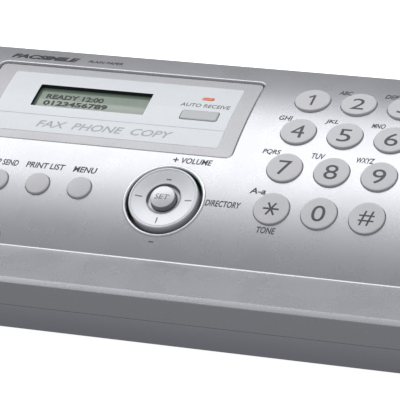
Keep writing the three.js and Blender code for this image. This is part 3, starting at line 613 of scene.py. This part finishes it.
# ------------------------ lettering
def lettering(text, width, height, slant=0.0, weight=0.0, thickness=0.03):
    """(points, faces) of a line of text in millimetres, centred, width wide and height high."""
    curve = bpy.data.curves.new("text", "FONT")
    curve.body = text
    curve.size = 1.0
    curve.shear = slant
    curve.offset = weight
    curve.extrude = 0.5
    curve.resolution_u = 4
    obj = bpy.data.objects.new("text", curve)
    bpy.context.scene.collection.objects.link(obj)
    bpy.context.view_layer.update()
    mesh = bpy.data.meshes.new_from_object(obj.evaluated_get(bpy.context.evaluated_depsgraph_get()))
    points = [v.co.copy() for v in mesh.vertices]
    faces = [tuple(p.vertices) for p in mesh.polygons]
    bpy.data.objects.remove(obj)
    bpy.data.curves.remove(curve)
    bpy.data.meshes.remove(mesh)
    low_x, high_x = min(p.x for p in points), max(p.x for p in points)
    low_y, high_y = min(p.y for p in points), max(p.y for p in points)
    across = width / (high_x - low_x)
    up = height / (high_y - low_y)
    middle_x, middle_y = (low_x + high_x) / 2, (low_y + high_y) / 2
    return [((p.x - middle_x) * across, (p.y - middle_y) * up, p.z * 2 * thickness) for p in points], faces


def sliced(drawing, step):
    """Cuts a flat drawing into narrow strips, so that it can follow a curved surface."""
    points, faces = drawing
    bm = bmesh.new()
    verts = [bm.verts.new(p) for p in points]
    for polygon in faces:
        bm.faces.new([verts[i] for i in polygon])
    for axis in (0, 1):
        low = min(p[axis] for p in points)
        high = max(p[axis] for p in points)
        normal = Vector((axis == 0, axis == 1, 0))
        for i in range(1, math.ceil((high - low) / step)):
            geometry = bm.verts[:] + bm.edges[:] + bm.faces[:]
            cut_at = normal * (low + step * i)
            bmesh.ops.bisect_plane(bm, geom=geometry, plane_co=cut_at, plane_no=normal, dist=1e-5)
    bm.verts.index_update()
    cut = [tuple(v.co) for v in bm.verts], [tuple(v.index for v in f.verts) for f in bm.faces]
    bm.free()
    return cut


def bar(width, length, thickness=0.03):
    """(points, faces) of a flat bar, centred."""
    corners = [(u * width / 2, v * length / 2) for u, v in ((-1, -1), (1, -1), (1, 1), (-1, 1))]
    points = [(u, v, w) for w in (-thickness, thickness) for u, v in corners]
    faces = [(3, 2, 1, 0), (4, 5, 6, 7), (0, 1, 5, 4), (1, 2, 6, 5), (2, 3, 7, 6), (3, 0, 4, 7)]
    return points, faces


PRINT_STEP = 1.6  # a print is cut this fine, so that it follows the panel


def printed(name, items, material, body):
    """One thin print made of several drawings: items are ((points, faces), mapping) pairs."""
    points, faces = [], []
    for drawing, mapping in items:
        drawn, polygons = sliced(drawing, PRINT_STEP)
        start = len(points)
        points += [mapping(*p) for p in drawn]
        faces += [tuple(start + i for i in polygon) for polygon in polygons]
    add(mesh_object(name, points, faces, material), body)


# ------------------------ front cover
def inner_edge_round(steps=6):
    """The rounding inside the cover's front edge."""
    centre_y = FRONT + WALL + INNER_EDGE_R
    centre_z = ledge_z(centre_y) - (INNER_EDGE_R + WALL) / math.cos(LEDGE_SLOPE)
    return arc_points(centre_y, centre_z, INNER_EDGE_R, 90 + math.degrees(LEDGE_SLOPE), 180, steps)


def rounded_corner(before, corner, after, radius, steps=6):
    """An arc that replaces the corner between two straight lines."""
    corner, before, after = Vector(corner), Vector(before), Vector(after)
    back, on = (before - corner).normalized(), (after - corner).normalized()
    half = back.angle(on) / 2
    reach = min(radius / math.tan(half), 0.45 * (before - corner).length, 0.45 * (after - corner).length)
    start, end = corner + back * reach, corner + on * reach
    # A quadratic curve is close enough to the arc at this size.
    turns = [i / steps for i in range(steps + 1)]
    return [tuple(start * (1 - t) ** 2 + corner * (2 * t * (1 - t)) + end * t * t) for t in turns]


def chamfered_edge(inset):
    """The cover's front edge from the ledge to the front face, set in by inset."""
    drop = inset / math.cos(LEDGE_SLOPE)
    top_y = FRONT + CHAMFER_DEPTH
    top = (top_y, ledge_z(top_y) - drop)
    tilt = math.tan(CHAMFER_SLOPE)
    low = (FRONT + inset, top[1] - (CHAMFER_DEPTH - inset) * tilt)
    ledge_y = top_y + 3
    ledge = (ledge_y, ledge_z(ledge_y) - drop)
    foot = (FRONT + inset, COVER_BOTTOM)
    upper = rounded_corner(ledge, top, low, CHAMFER_TOP_R)
    return [*upper, *rounded_corner(top, low, foot, CHAMFER_FOOT_R)]


def foot_fillet(inset, steps):
    """The hollow round between the panel and the ledge: its panel end's slope, and its points."""
    # The centre is FILLET_R outside both the panel's cylinder and the ledge's plane.
    reach = PANEL_R + FILLET_R
    above = (PANEL_AXIS[1] - ledge_z(PANEL_AXIS[0])) * math.cos(LEDGE_SLOPE)
    turn = math.acos((FILLET_R - above) / reach)
    slope = math.degrees(LEDGE_SLOPE + turn)
    y, z = on_arc(math.radians(slope), reach)
    points = arc_points(y, z, FILLET_R + inset, slope + 270, math.degrees(LEDGE_SLOPE) + 270, steps)
    return slope, points


def rear_round(inset, steps):
    """The rounding of the panel's rear edge: its panel end's slope, and its points."""
    y = REAR_Y - REAR_EDGE_R
    slope = math.asin((PANEL_AXIS[0] - y) / (PANEL_R - REAR_EDGE_R))
    z = PANEL_AXIS[1] + (PANEL_R - REAR_EDGE_R) * math.cos(slope)
    points = arc_points(y, z, REAR_EDGE_R - inset, 0, 90 + math.degrees(slope), steps)
    return math.degrees(slope), points


def cover_outline(inset):
    """The cover's side outline from the rear edge to the foot of its front face, set in by inset."""
    start, rear = rear_round(inset, 8)
    end, fillet = foot_fillet(inset, 12)
    steps = 150
    slopes = [start + (end - start) * i / steps for i in range(1, steps)]
    panel = [on_arc(math.radians(a), PANEL_R - inset) for a in slopes]
    return [*rear, *panel, *fillet, *chamfered_edge(inset), (FRONT + inset, SKIRT_END)]


def end_stations(low, high, radius, steps=5):
    """(x, inset) pairs that round both ends of a piece that runs along X."""
    turns = [math.pi / 2 * i / steps for i in range(steps + 1)]
    pairs = [(radius * (1 - math.cos(t)), radius * (1 - math.sin(t))) for t in turns]
    return [(low + x, inset) for x, inset in pairs] + [(high - x, inset) for x, inset in reversed(pairs)]


def key_hole(x, s, radius, rim=0.2):
    """A round cutter with a flare at the top that leaves the hole's rim rounded."""
    flare = arc_points(radius + rim, -rim, rim, 180, 90, 4)
    profile = [(0, CUT_FOOT), (radius, CUT_FOOT), *flare, (radius + rim, CUT_TOP), (0, CUT_TOP)]
    return turned("hole", profile, RIM, upright(x, s), 56)


def slot_hole(x, s, size, corner, rim=0.3):
    """A cutter for a key with straight sides."""
    levels = [(0, CUT_FOOT), *quarter_round(rim), (rim, CUT_TOP)]
    return slab("hole", grown_rectangle(size, corner), levels, RIM, upright(x, s))


def display_hole(rim=0.9):
    """The cutter for the display's recess: it follows the panel, so its rounded edge is even all round."""
    levels = [(0, CUT_FOOT), *quarter_round(rim), (rim, CUT_TOP)]
    return curved_slab("hole", grown_rectangle(DISPLAY_SIZE, DISPLAY_CORNER), levels, RIM, *DISPLAY)


def panel_normals(obj):
    """Points the shading normals of the panel's own faces straight out from its axis."""
    mesh = obj.data
    normals = [Vector(n.vector) for n in mesh.corner_normals]
    axis = Vector((0, *PANEL_AXIS)) * MM
    tolerance = 0.02 * MM

    def outward(v):
        return Vector((0, v.y - axis.y, v.z - axis.z))

    for polygon in mesh.polygons:
        corners = [mesh.vertices[i].co for i in polygon.vertices]
        if all(abs(outward(v).length - PANEL_R * MM) < tolerance for v in corners):
            for loop, v in zip(polygon.loop_indices, corners):
                normals[loop] = outward(v).normalized()
    mesh.normals_split_custom_set(normals)


def make_front_cover():
    foot = (FRONT + WALL, SKIRT_END)
    rings = []
    for x, inset in end_stations(PANEL_LEFT, PANEL_RIGHT, COVER_END_R):
        rear = (REAR_Y - inset, foot[1] + PATH_SLOPE * (REAR_Y - inset - foot[0]))
        rings.append([(x, y, z) for y, z in (*cover_outline(inset), foot, rear)])
    cover = loft("control_cover_shell", rings, SILVER)
    steps, below = 40, COVER_BOTTOM - 3
    inner_foot, inner_rear = FOOT_SLOPE + math.radians(0.3), REAR_SLOPE + 0.015
    slopes = [inner_foot + (inner_rear - inner_foot) * i / steps for i in range(steps + 1)]
    hollow = [
        (FRONT + WALL, below),
        *reversed(inner_edge_round()),
        *[on_arc(a, PANEL_R - WALL) for a in slopes],
        (REAR_Y - WALL, COVER_SKIRT_Z),
        (REAR_Y + 5, COVER_SKIRT_Z),
        (REAR_Y + 5, below),
    ]
    cutters = [prism("hollow", hollow, PANEL_LEFT + WALL, PANEL_RIGHT - WALL, RIM)]
    cutters += [key_hole(x, s, DIAL_R + KEY_GAP) for x, s in DIAL_KEYS.values()]
    cutters += [key_hole(x, s, SMALL_R + KEY_GAP) for x, s in SMALL_KEYS.values()]
    cutters += [slot_hole(x, s, PILL_SIZE, PILL_CORNER) for x, s in PILL_KEYS.values()]
    cutters += [key_hole(*NAV, NAV_R + NAV_CLEARANCE)]
    carve(cover, cutters)
    carve(cover, [display_hole()])
    shade(cover, 22)
    panel_normals(cover)
    add(cover, "control_cover", "front_cover")


def make_nav_bezel():
    """A fine raised ring round the navigation key."""
    inner = NAV_R + NAV_CLEARANCE + 0.05
    middle, half, height = inner + 0.6, 0.6, 0.36
    crown = [(middle + half * u, height * v) for u, v in arc_points(0, 0, 1, 180, 0, 12)]
    profile = [(inner, -0.6), *crown, (inner + 2 * half, -0.6)]
    x, s = NAV
    ring = turned("nav_bezel", profile, BEZEL, lambda u, v, w: panel_point(x + u, s - v, w), 96, 60, True)
    add(ring, "control_cover")


# ------------------------ keys
def dome(radius, rise):
    """The height of a domed top over its edge, at a place on it."""
    return lambda u, v: rise * (1 - (u * u + v * v) / (radius * radius))


def round_key(name, x, s, radius, height, rise=0.12, edge=0.35, material=None):
    """A low round cap with a softened edge, a skirt and the flange that keeps it in its hole."""
    top = height - rise
    crown = [(r, top + dome(radius, rise)(r, 0)) for r in (0, radius * 0.3, radius * 0.6, radius * 0.8)]
    edge_arc = arc_points(radius - edge, top + dome(radius, rise)(radius - edge, 0) - edge, edge, 85, 0, 7)
    wide = radius + FLANGE
    skirt = [(radius, FLANGE_TOP), (wide, FLANGE_TOP), (wide, CAP_FOOT), (0, CAP_FOOT)]
    profile = [*crown, *edge_arc, *skirt]
    cap = turned(f"cap_{name}", profile, material or KEY_GREY, upright(x, s), 72)
    return add(cap, f"key_{name}", f"key_{name}")


LEGEND_SHIFT = -0.35  # a key's digit stands a little below its middle


def on_cap(x, s, radius, height, rise=0.12):
    """Maps a drawing onto a key's domed top."""
    place = upright(x, s)
    shape = dome(radius, rise)
    return lambda u, v, w: place(u, v + LEGEND_SHIFT, height - rise + shape(u, v) + w)


def make_dial_keys():
    for name, (x, s) in DIAL_KEYS.items():
        round_key(name, x, s, DIAL_R, DIAL_H)
        if name == "star":
            drawing = star_drawing()
        elif name == "hash":
            drawing = lettering("#", 5.8, 6.3)
        elif name == "1":
            drawing = one_drawing()
        else:
            drawing = lettering(name, 5.1, 6.8)
        items = [(drawing, on_cap(x, s, DIAL_R, DIAL_H))]
        printed(f"legend_{name}", items, DIGIT_INK, f"key_{name}")


def one_drawing(height=6.5, stroke=0.85):
    """The digit 1: a stem with a slanted flag at its top left."""
    stem, flag = bar(stroke, height), bar(2.1, stroke)
    turn = math.radians(38)
    cos, sin = math.cos(turn), math.sin(turn)
    left, down, thinner = 0.75, 1.05, 0.9
    points = [(u + 0.3, v, w) for u, v, w in stem[0]]
    start = len(points)
    for u, v, w in flag[0]:
        points.append((u * cos - v * sin - left, u * sin + v * cos + height / 2 - down, thinner * w))
    return points, stem[1] + [tuple(start + i for i in polygon) for polygon in flag[1]]


def star_drawing(arms=6, reach=3.0, stroke=0.75):
    """An asterisk of straight strokes."""
    points, faces = [], []
    for arm in range(arms // 2):
        turn = math.pi * arm / (arms / 2)
        cos, sin = math.cos(turn), math.sin(turn)
        drawn, polygons = bar(2 * reach, stroke, 0.03 + 0.004 * arm)
        start = len(points)
        points += [(u * cos - v * sin, u * sin + v * cos, w) for u, v, w in drawn]
        faces += [tuple(start + i for i in polygon) for polygon in polygons]
    return points, faces


def cap_levels(height, crown, flange, flange_top, foot):
    """The levels of a straight cap: its flange, its skirt, and a crown of (inset, drop) steps."""
    skirt = [(flange, foot), (flange, flange_top), (0, flange_top)]
    return skirt + [(-inset, height - drop) for inset, drop in crown]


def make_function_keys():
    for name, (x, s) in SMALL_KEYS.items():
        round_key(name, x, s, SMALL_R, SMALL_H, 0.35, 0.5)
    for name, (x, s) in PILL_KEYS.items():
        crown = [(0, 0.7), (0.12, 0.4), (0.4, 0.12), (0.9, 0.02), (2.5, 0)]
        levels = cap_levels(PILL_H, crown, FLANGE, FLANGE_TOP, CAP_FOOT)
        outline = grown_rectangle(PILL_SIZE, PILL_CORNER, 12)
        cap = slab(f"cap_{name}", outline, levels, KEY_GREY, upright(x, s))
        add(cap, f"key_{name}", f"key_{name}")


def paint_shade_on_faces(obj, at, radii, turns=(0, 360)):
    """Paints shade onto the faces of a turned piece that lie between two radii and between two angles, in
    degrees, with the darker silver.
    """
    origin = Vector(panel_point(*at))
    slope = slope_at(at[1])
    up = Vector((0, math.cos(slope), math.sin(slope)))
    obj.data.materials.append(PAINTED_SHADE_SILVER)
    for polygon in obj.data.polygons:
        away = polygon.center / MM - origin
        radius = math.hypot(away.x, away.dot(up))
        turn = math.degrees(math.atan2(away.dot(up), away.x)) % 360
        if radii[0] < radius < radii[1] and turns[0] <= turn <= turns[1]:
            polygon.material_index = 1


DISH_R, DISH_H, DISH_SLOPE = 9.4, 0.9, 0.125  # a place in the nav key's dish, and how it rises outwards
CUP_SHADE_R, CUP_SHADE_TURN = (5.9, 6.65), (30, 200)  # the cup's wall, and the stretch of it that gets painted shade


def make_nav_ring():
    """The ring that rocks: a rounded lip, a fine groove, a dished top and a cup in the middle."""
    lip = [*arc_points(NAV_R - 0.45, 0.95, 0.45, 0, 90, 6), (NAV_R - 0.75, 1.38)]
    groove = [(NAV_R - 0.9, 1.12), (NAV_R - 1.1, 1.1), (NAV_R - 1.2, 1.26)]
    dish = [(NAV_R - 2.4, 1.12), (DISH_R, DISH_H), (8.0, 0.72)]
    cup = [*arc_points(6.9, 0.1, 0.5, 85, 170, 8), (6.2, -0.5), (6.0, -0.7), (CUP_HOLE, -0.75)]
    profile = [(CUP_HOLE, -2.6), (NAV_R, -2.6), *lip, *groove, *dish, *cup]
    key = turned("nav_ring", profile, NAV_SILVER, upright(*NAV), 96, 50, True)
    # Painted shade on the upper and left stretch of the cup's wall, where it would lie in shadow.
    paint_shade_on_faces(key, NAV, CUP_SHADE_R, CUP_SHADE_TURN)
    add(key, "nav_key", "nav_key")


def make_nav_ticks():
    """Four ticks in the dish: the one at the back lies across, and the others point at the middle."""
    ticks = []
    for turn in range(4):
        angle = math.pi / 2 * turn
        cos, sin = math.cos(angle), math.sin(angle)
        along, across, reach = (0.5, 1.9, 8.3) if turn == 1 else (2.7, 0.45, 9.7)
        drawn, polygons = bar(along, across, 0.06)
        moved = []
        for u, v, w in drawn:
            out = u + reach
            rise = DISH_H + DISH_SLOPE * (out - DISH_R)
            moved.append((out * cos - v * sin, out * sin + v * cos, w + rise))
        ticks.append(((moved, polygons), upright(*NAV)))
    printed("nav_ticks", ticks, TICK_INK, "nav_key")


def make_set_key():
    cap = round_key("set", *NAV, SET_R, SET_H, 0.8, 0.5, material=NAV_SILVER)
    # Painted shade on the SET cap's side, all round, where it would lie in shadow.
    paint_shade_on_faces(cap, NAV, (SET_R - 0.12, 2 * SET_R))
    surface = on_cap(*NAV, SET_R, SET_H, 0.8)
    printed("legend_set", [(lettering("SET", 5.6, 2.2, 0.15), surface)], TICK_INK, "key_set")


# ------------------------ display
def make_display():
    floor_size = (DISPLAY_SIZE[0] - 0.5, DISPLAY_SIZE[1] - 0.5)
    levels = [(0, -DISPLAY_DEPTH - 2), (0, -DISPLAY_DEPTH - 0.15), (-0.15, -DISPLAY_DEPTH)]
    outline = grown_rectangle(floor_size, DISPLAY_CORNER - 0.2)
    border = curved_slab("display_border", outline, levels, BORDER, *DISPLAY)
    levels = [(0, -DISPLAY_DEPTH - 0.6), (0, -DISPLAY_DEPTH + PLATE_RISE)]
    plate = curved_slab("display_face", grown_rectangle(PLATE_SIZE, 1.2), levels, PLATE_PAINT, *PLATE)
    carve(plate, windows())
    carve(border, windows())
    add(border, "control_cover")
    add(plate, "control_cover", "display_plate")


def windows():
    """Cutters through the display's plate for the LCD, the LED and the key; those for the LED and the key
    leave a gap round them.
    """
    cutters = []
    for place, size, corner, gap, material, steps in (
        (LCD, LCD_SIZE, 0.4, 0, LCD_FRAME, 4),
        (LED, LED_SIZE, LED_CORNER, 0.15, PLATE_PAINT, 8),
        (AUTO, AUTO_SIZE, AUTO_CORNER - 0.05, 0.25, BORDER, 8),
    ):
        outline = grown_rectangle((size[0] + 2 * gap, size[1] + 2 * gap), corner + gap, steps)
        cutters.append(slab("hole", outline, [(0, -8), (0, 3)], material, upright(*place)))
    return cutters


def make_lcd():
    glass_size, top = (LCD_SIZE[0] + 8, LCD_SIZE[1] + 7.2), -DISPLAY_DEPTH - LCD_DEPTH
    levels = [(0, top - 2.7), (0, top - 0.1), (-0.2, top)]
    glass = curved_slab("lcd_glass", grown_rectangle(glass_size, 1), levels, LCD_GLASS, *LCD)
    add(glass, "control_cover", "lcd_module")
    items = []
    for text, width, down in (("READY 12:00", 23.6, -1.5), ("0123456789", 26.3, 2.4)):
        middle = LCD[0] - LCD_SIZE[0] / 2 + 3.6 + width / 2
        line = lettering(text, width, 2.9, 0, 0.035, 0.02)
        items.append((line, wrapped(middle, LCD[1] + down, top + 0.03)))
    printed("lcd_text", items, LCD_INK, "control_cover")


def make_led():
    rim = -DISPLAY_DEPTH
    levels = [(0, rim - 3), (0, rim + 0.1), (-0.2, rim + 0.22), (-0.55, rim + 0.3)]
    lens = slab("led_window", grown_rectangle(LED_SIZE, LED_CORNER), levels, LENS, upright(*LED))
    add(lens, "control_cover", "led_lens")


def make_auto_key():
    crown = [(0, 0.35), (0.1, 0.15), (0.3, 0.04), (0.8, 0)]
    levels = cap_levels(AUTO_H, crown, 0.8, -3.7, -4.5)
    outline = grown_rectangle(AUTO_SIZE, AUTO_CORNER)
    auto = slab("cap_auto_answer", outline, levels, AUTO_GREY, upright(*AUTO))
    add(auto, "key_auto_answer", "key_auto_answer")


# ------------------------ printed legends
LEGEND_H, LEGEND_SLANT, LEGEND_WEIGHT = 2.7, 0.15, 0.022
LETTERS_AT = (-7.1, -7.3)  # from a key's middle to the middle of its letters
LETTER_PITCH, PILL_LETTER_PITCH = 1.7, 1.9
LETTERS = dict(zip("23456789", ("ABC", "DEF", "GHI", "JKL", "MNO", "PQRS", "TUV", "WXYZ")))
# Each legend is a text, its place from the middle of its key, and its width.
KEY_LEGENDS = {
    "star": (("A-a", *LETTERS_AT, 6.2), ("TONE", 0, 9.0, 7.1)),
    "menu": (("MENU", -0.2, -8.3, 9.4),),
    "print_report": (("PRINT LIST", 0.6, -8.4, 15.6),),
    "broadcast": (("GROUP SEND", -1.6, -8.4, 16),),
}
NAV_LEGENDS = (("VOLUME", 7.6, -18.4, 12.0), ("DIRECTORY", 22.8, -0.6, 13.6))
MINUS_AT, MINUS_SIZE = (NAV[0] - 0.3, NAV[1] + 17.9), (1.9, 0.45)
# Each other line of print is a text, its place on the panel, its width, height, slant and weight.
PLUS = ("+", (NAV[0] - 0.6, NAV[1] - 18.4), 2.2, 2.2, 0, 0.02)
TITLE = ("FACSIMILE", (-49.5, -15.2), 28.4, 3.2, 0.3, 0.055)
SUBTITLE = ("PLAIN PAPER", (-24.2, -15.2), 14.4, 1.8, 0.2, 0.02)
SLOGAN = ("FAX  PHONE  COPY", (-10.4, 25.2), 55.0, 3.5, 0.3, 0.012)
AUTO_LEGEND = ("AUTO RECEIVE", (AUTO[0] + 0.5, AUTO[1] - 6.0), 19.8, 2.0, 0.12)
RULE_AT, RULE_SIZE = (-9.6, 20.5), (91.0, 0.22)


def print_lines(lines, level=0.0):
    return [(lettering(text, *shape), wrapped(x, s, level)) for text, (x, s), *shape in lines]


def legends_round(place, legends):
    style = (LEGEND_H, LEGEND_SLANT, LEGEND_WEIGHT)
    return print_lines([(text, (place[0] + u, place[1] + v), width, *style) for text, u, v, width in legends])


def make_legends():
    items = []
    for name, letters in LETTERS.items():
        items += legends_round(DIAL_KEYS[name], [(letters, *LETTERS_AT, LETTER_PITCH * len(letters))])
    for name, legends in KEY_LEGENDS.items():
        items += legends_round((DIAL_KEYS | SMALL_KEYS)[name], legends)
    for name in SIDE_KEYS:
        items += legends_round(SMALL_KEYS[name], [(name.upper(), 0, -7.6, LETTER_PITCH * len(name))])
    for name, place in PILL_KEYS.items():
        items += legends_round(place, [(name.upper(), 0, -9.2, PILL_LETTER_PITCH * len(name))])
    items += print_lines([PLUS]) + legends_round(NAV, NAV_LEGENDS)
    items.append((bar(*MINUS_SIZE), wrapped(*MINUS_AT)))
    printed("panel_legends", items, INK, "control_cover")


def make_title():
    printed("title", print_lines([TITLE, SUBTITLE]), TITLE_INK, "control_cover")


def make_display_prints():
    level = -DISPLAY_DEPTH + PLATE_RISE + 0.01
    faint = [*print_lines([SLOGAN], level), (bar(*RULE_SIZE), wrapped(*RULE_AT, level))]
    printed("display_slogan", faint, PALE_INK, "control_cover")
    printed("display_legend", print_lines([AUTO_LEGEND], level), INK, "control_cover")


# ------------------------ handset
CRADLE_X, CRADLE_Y = -137.7, 2.0
CRADLE_BACK = (96.0, 45.5)
CRADLE_TILT = math.atan((CRADLE_BACK[1] - FOOT_Z) / (CRADLE_BACK[0] - FOOT_Y))
HANDSET_HALF_WIDTH, HANDSET_ROUND = 22.5, 5.0
HANDSET_UNDER = [(-87, -1), (-85, -4), (-81, -5), (-54, -5), (-50, -2.5), (-45, 5), (-36, 10.5), (-16, 13),
                 (16, 13), (36, 10.5), (45, 5), (50, -2.5), (54, -5), (81, -5), (85, -4), (87, -1)]
HANDSET_OVER = [(90.5, 8), (88.5, 17.5), (80, 24), (50, 28.3), (0, 30.3), (-50, 28.3), (-80, 24),
                (-88.5, 17.5), (-90.5, 8)]
HANDSET_SPLIT = [(-100, 8), (-60, 13), (0, 20.5), (60, 13), (100, 8)]
SPLIT_BELOW, SPLIT_ABOVE = 0.15, 0.2  # the seam's two halves, from the split line
SOUND_HOLES_AT = 67.5
SOUND_HOLE_RINGS = ((0, 1), (4.5, 6), (9, 12))  # each ring's radius and number of holes
SOUND_HOLE = [(0, -7), (0.8, -7), (0.8, -3.8), (0, -3.8)]


def on_cradle(u, v, w):
    """Maps the cradle's own frame to the model: u across it, v towards the back, w out of it."""
    sin, cos = math.sin(CRADLE_TILT), math.cos(CRADLE_TILT)
    z0 = FOOT_Z + math.tan(CRADLE_TILT) * (CRADLE_Y - FOOT_Y)
    return (CRADLE_X + u, CRADLE_Y + v * cos - w * sin, z0 + v * sin + w * cos)


def cradle_frame(u, v):
    """The same map, with its origin moved to u and v."""
    return lambda a, b, c: on_cradle(u + a, v + b, c)


def curve_through(points, steps=5, closed=False):
    """A smooth curve, a Catmull-Rom spline, through the points."""
    n = len(points)

    def at(i):
        return Vector(points[i % n] if closed else points[min(max(i, 0), n - 1)])

    out = []
    for i in range(n if closed else n - 1):
        before, start, end, after = (at(i + k) for k in (-1, 0, 1, 2))
        bend = 2 * before - 5 * start + 4 * end - after
        twist = 3 * start - before - 3 * end + after
        for k in range(steps):
            t = k / steps
            out.append(tuple(0.5 * (2 * start + (end - before) * t + bend * t ** 2 + twist * t ** 3)))
    return out if closed else [*out, tuple(points[-1])]


def handset_half(name, outline):
    """The smooth, rounded handset, cut down to what is inside a side outline in the cradle's frame."""
    keep = prism("keep", outline, -40, 40, SILVER, on_cradle)
    whole = curve_through([*HANDSET_UNDER, *HANDSET_OVER], 6, True)
    body = prism(name, whole, -HANDSET_HALF_WIDTH, HANDSET_HALF_WIDTH, SILVER, on_cradle)
    rounded_edges(body, HANDSET_ROUND, 8, 60, None)
    return carve(body, [keep], "INTERSECT")


def sound_holes(middle):
    """Cutters for the rings of holes in one end of the handset."""
    holes = []
    for ring, count in SOUND_HOLE_RINGS:
        for k in range(count):
            turn = 2 * math.pi * k / count
            place = cradle_frame(ring * math.cos(turn), middle + ring * math.sin(turn))
            holes.append(turned("hole", SOUND_HOLE, RUBBER, place, 12))
    return holes


def make_handset():
    split = curve_through(HANDSET_SPLIT, 8)
    below = [(100, -20), (-100, -20), *[(v, w - SPLIT_BELOW) for v, w in split]]
    above = [(-100, 60), (100, 60), *[(v, w + SPLIT_ABOVE) for v, w in reversed(split)]]
    lower = handset_half("handset_lower_shell", below)
    carve(lower, sound_holes(-SOUND_HOLES_AT) + sound_holes(SOUND_HOLES_AT))
    upper = handset_half("handset_upper_shell", above)
    for shell, node in ((lower, "handset_lower"), (upper, "handset_upper")):
        rounded_edges(shell, 0.25, 2, 60, 35)
        add(shell, frame["nodes"][node]["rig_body"], node)


# ------------------------ pieces that keep the CAD's shape
BOARD_TOPS = {"main_board": 7.6, "power_supply": 5.7}


def refined(node, material, width, segments=2):
    """A copy of a CAD node with its flat faces joined and its edges rounded. It stands for the node."""
    obj = bpy.data.objects.new(f"{node}_body", frame["nodes"][node].data.copy())
    bpy.context.scene.collection.objects.link(obj)
    with editing(obj.data) as bm:
        bmesh.ops.remove_doubles(bm, verts=bm.verts, dist=1e-6)
        bmesh.ops.dissolve_limit(bm, angle_limit=math.radians(0.5), verts=bm.verts, edges=bm.edges)
    obj.data.materials.clear()
    obj.data.materials.append(material)
    rounded_edges(obj, width, segments)
    add(obj, frame["nodes"][node]["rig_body"], node)


def paint_parts(node, board_top, material):
    """Gives the parts that stand on a circuit board a material of their own."""
    mesh = frame["nodes"][node].data
    mesh.materials.append(material)
    just_over = (board_top + 0.05) * MM
    for polygon in mesh.polygons:
        if polygon.center.z > just_over:
            polygon.material_index = 1


def repaint(nodes, material):
    """Gives CAD nodes that keep their shape a finished material."""
    for node in nodes:
        obj = frame["nodes"][node]
        obj.data.materials.clear()
        obj.data.materials.append(material)
        for polygon in obj.data.polygons:
            polygon.use_smooth = False


make_studio()
make_front_cover()
make_nav_bezel()
make_dial_keys()
make_function_keys()
make_nav_ring()
make_nav_ticks()
make_set_key()
make_display()
make_lcd()
make_led()
make_auto_key()
make_legends()
make_title()
make_display_prints()

for node in ("upper_housing", "cradle_housing"):
    refined(node, SILVER, 0.9, 3)
for node in ("bottom_case", "exit_flap"):
    refined(node, TRAY_SILVER, 0.5, 2)
make_handset()
for node in ("paper_support", "support_extension", "document_guide_left", "document_guide_right"):
    refined(node, SMOKE, 0.4)
for node in ("hook_switch", "film_cover", "cover_underplate"):
    refined(node, WHITE_PLASTIC, 0.3)
repaint(["front_foot", "rear_foot", "scanner_bar"], RUBBER)
repaint(["platen_roller", "document_roller", "pickup_roller"], RUBBER)
repaint(["main_board", "power_supply", "key_board"], BOARD)
for node, board_top in BOARD_TOPS.items():
    paint_parts(node, board_top, CONNECTOR)
repaint(["drive_motor", "speaker", "thermal_head"], STEEL)
repaint(["platen_gear", "idler_gear", "motor_pinion"], GEAR)
repaint(["film_takeup_roll", "film_supply_roll"], FILM)
repaint(["nav_gimbal"], WHITE_PLASTIC)
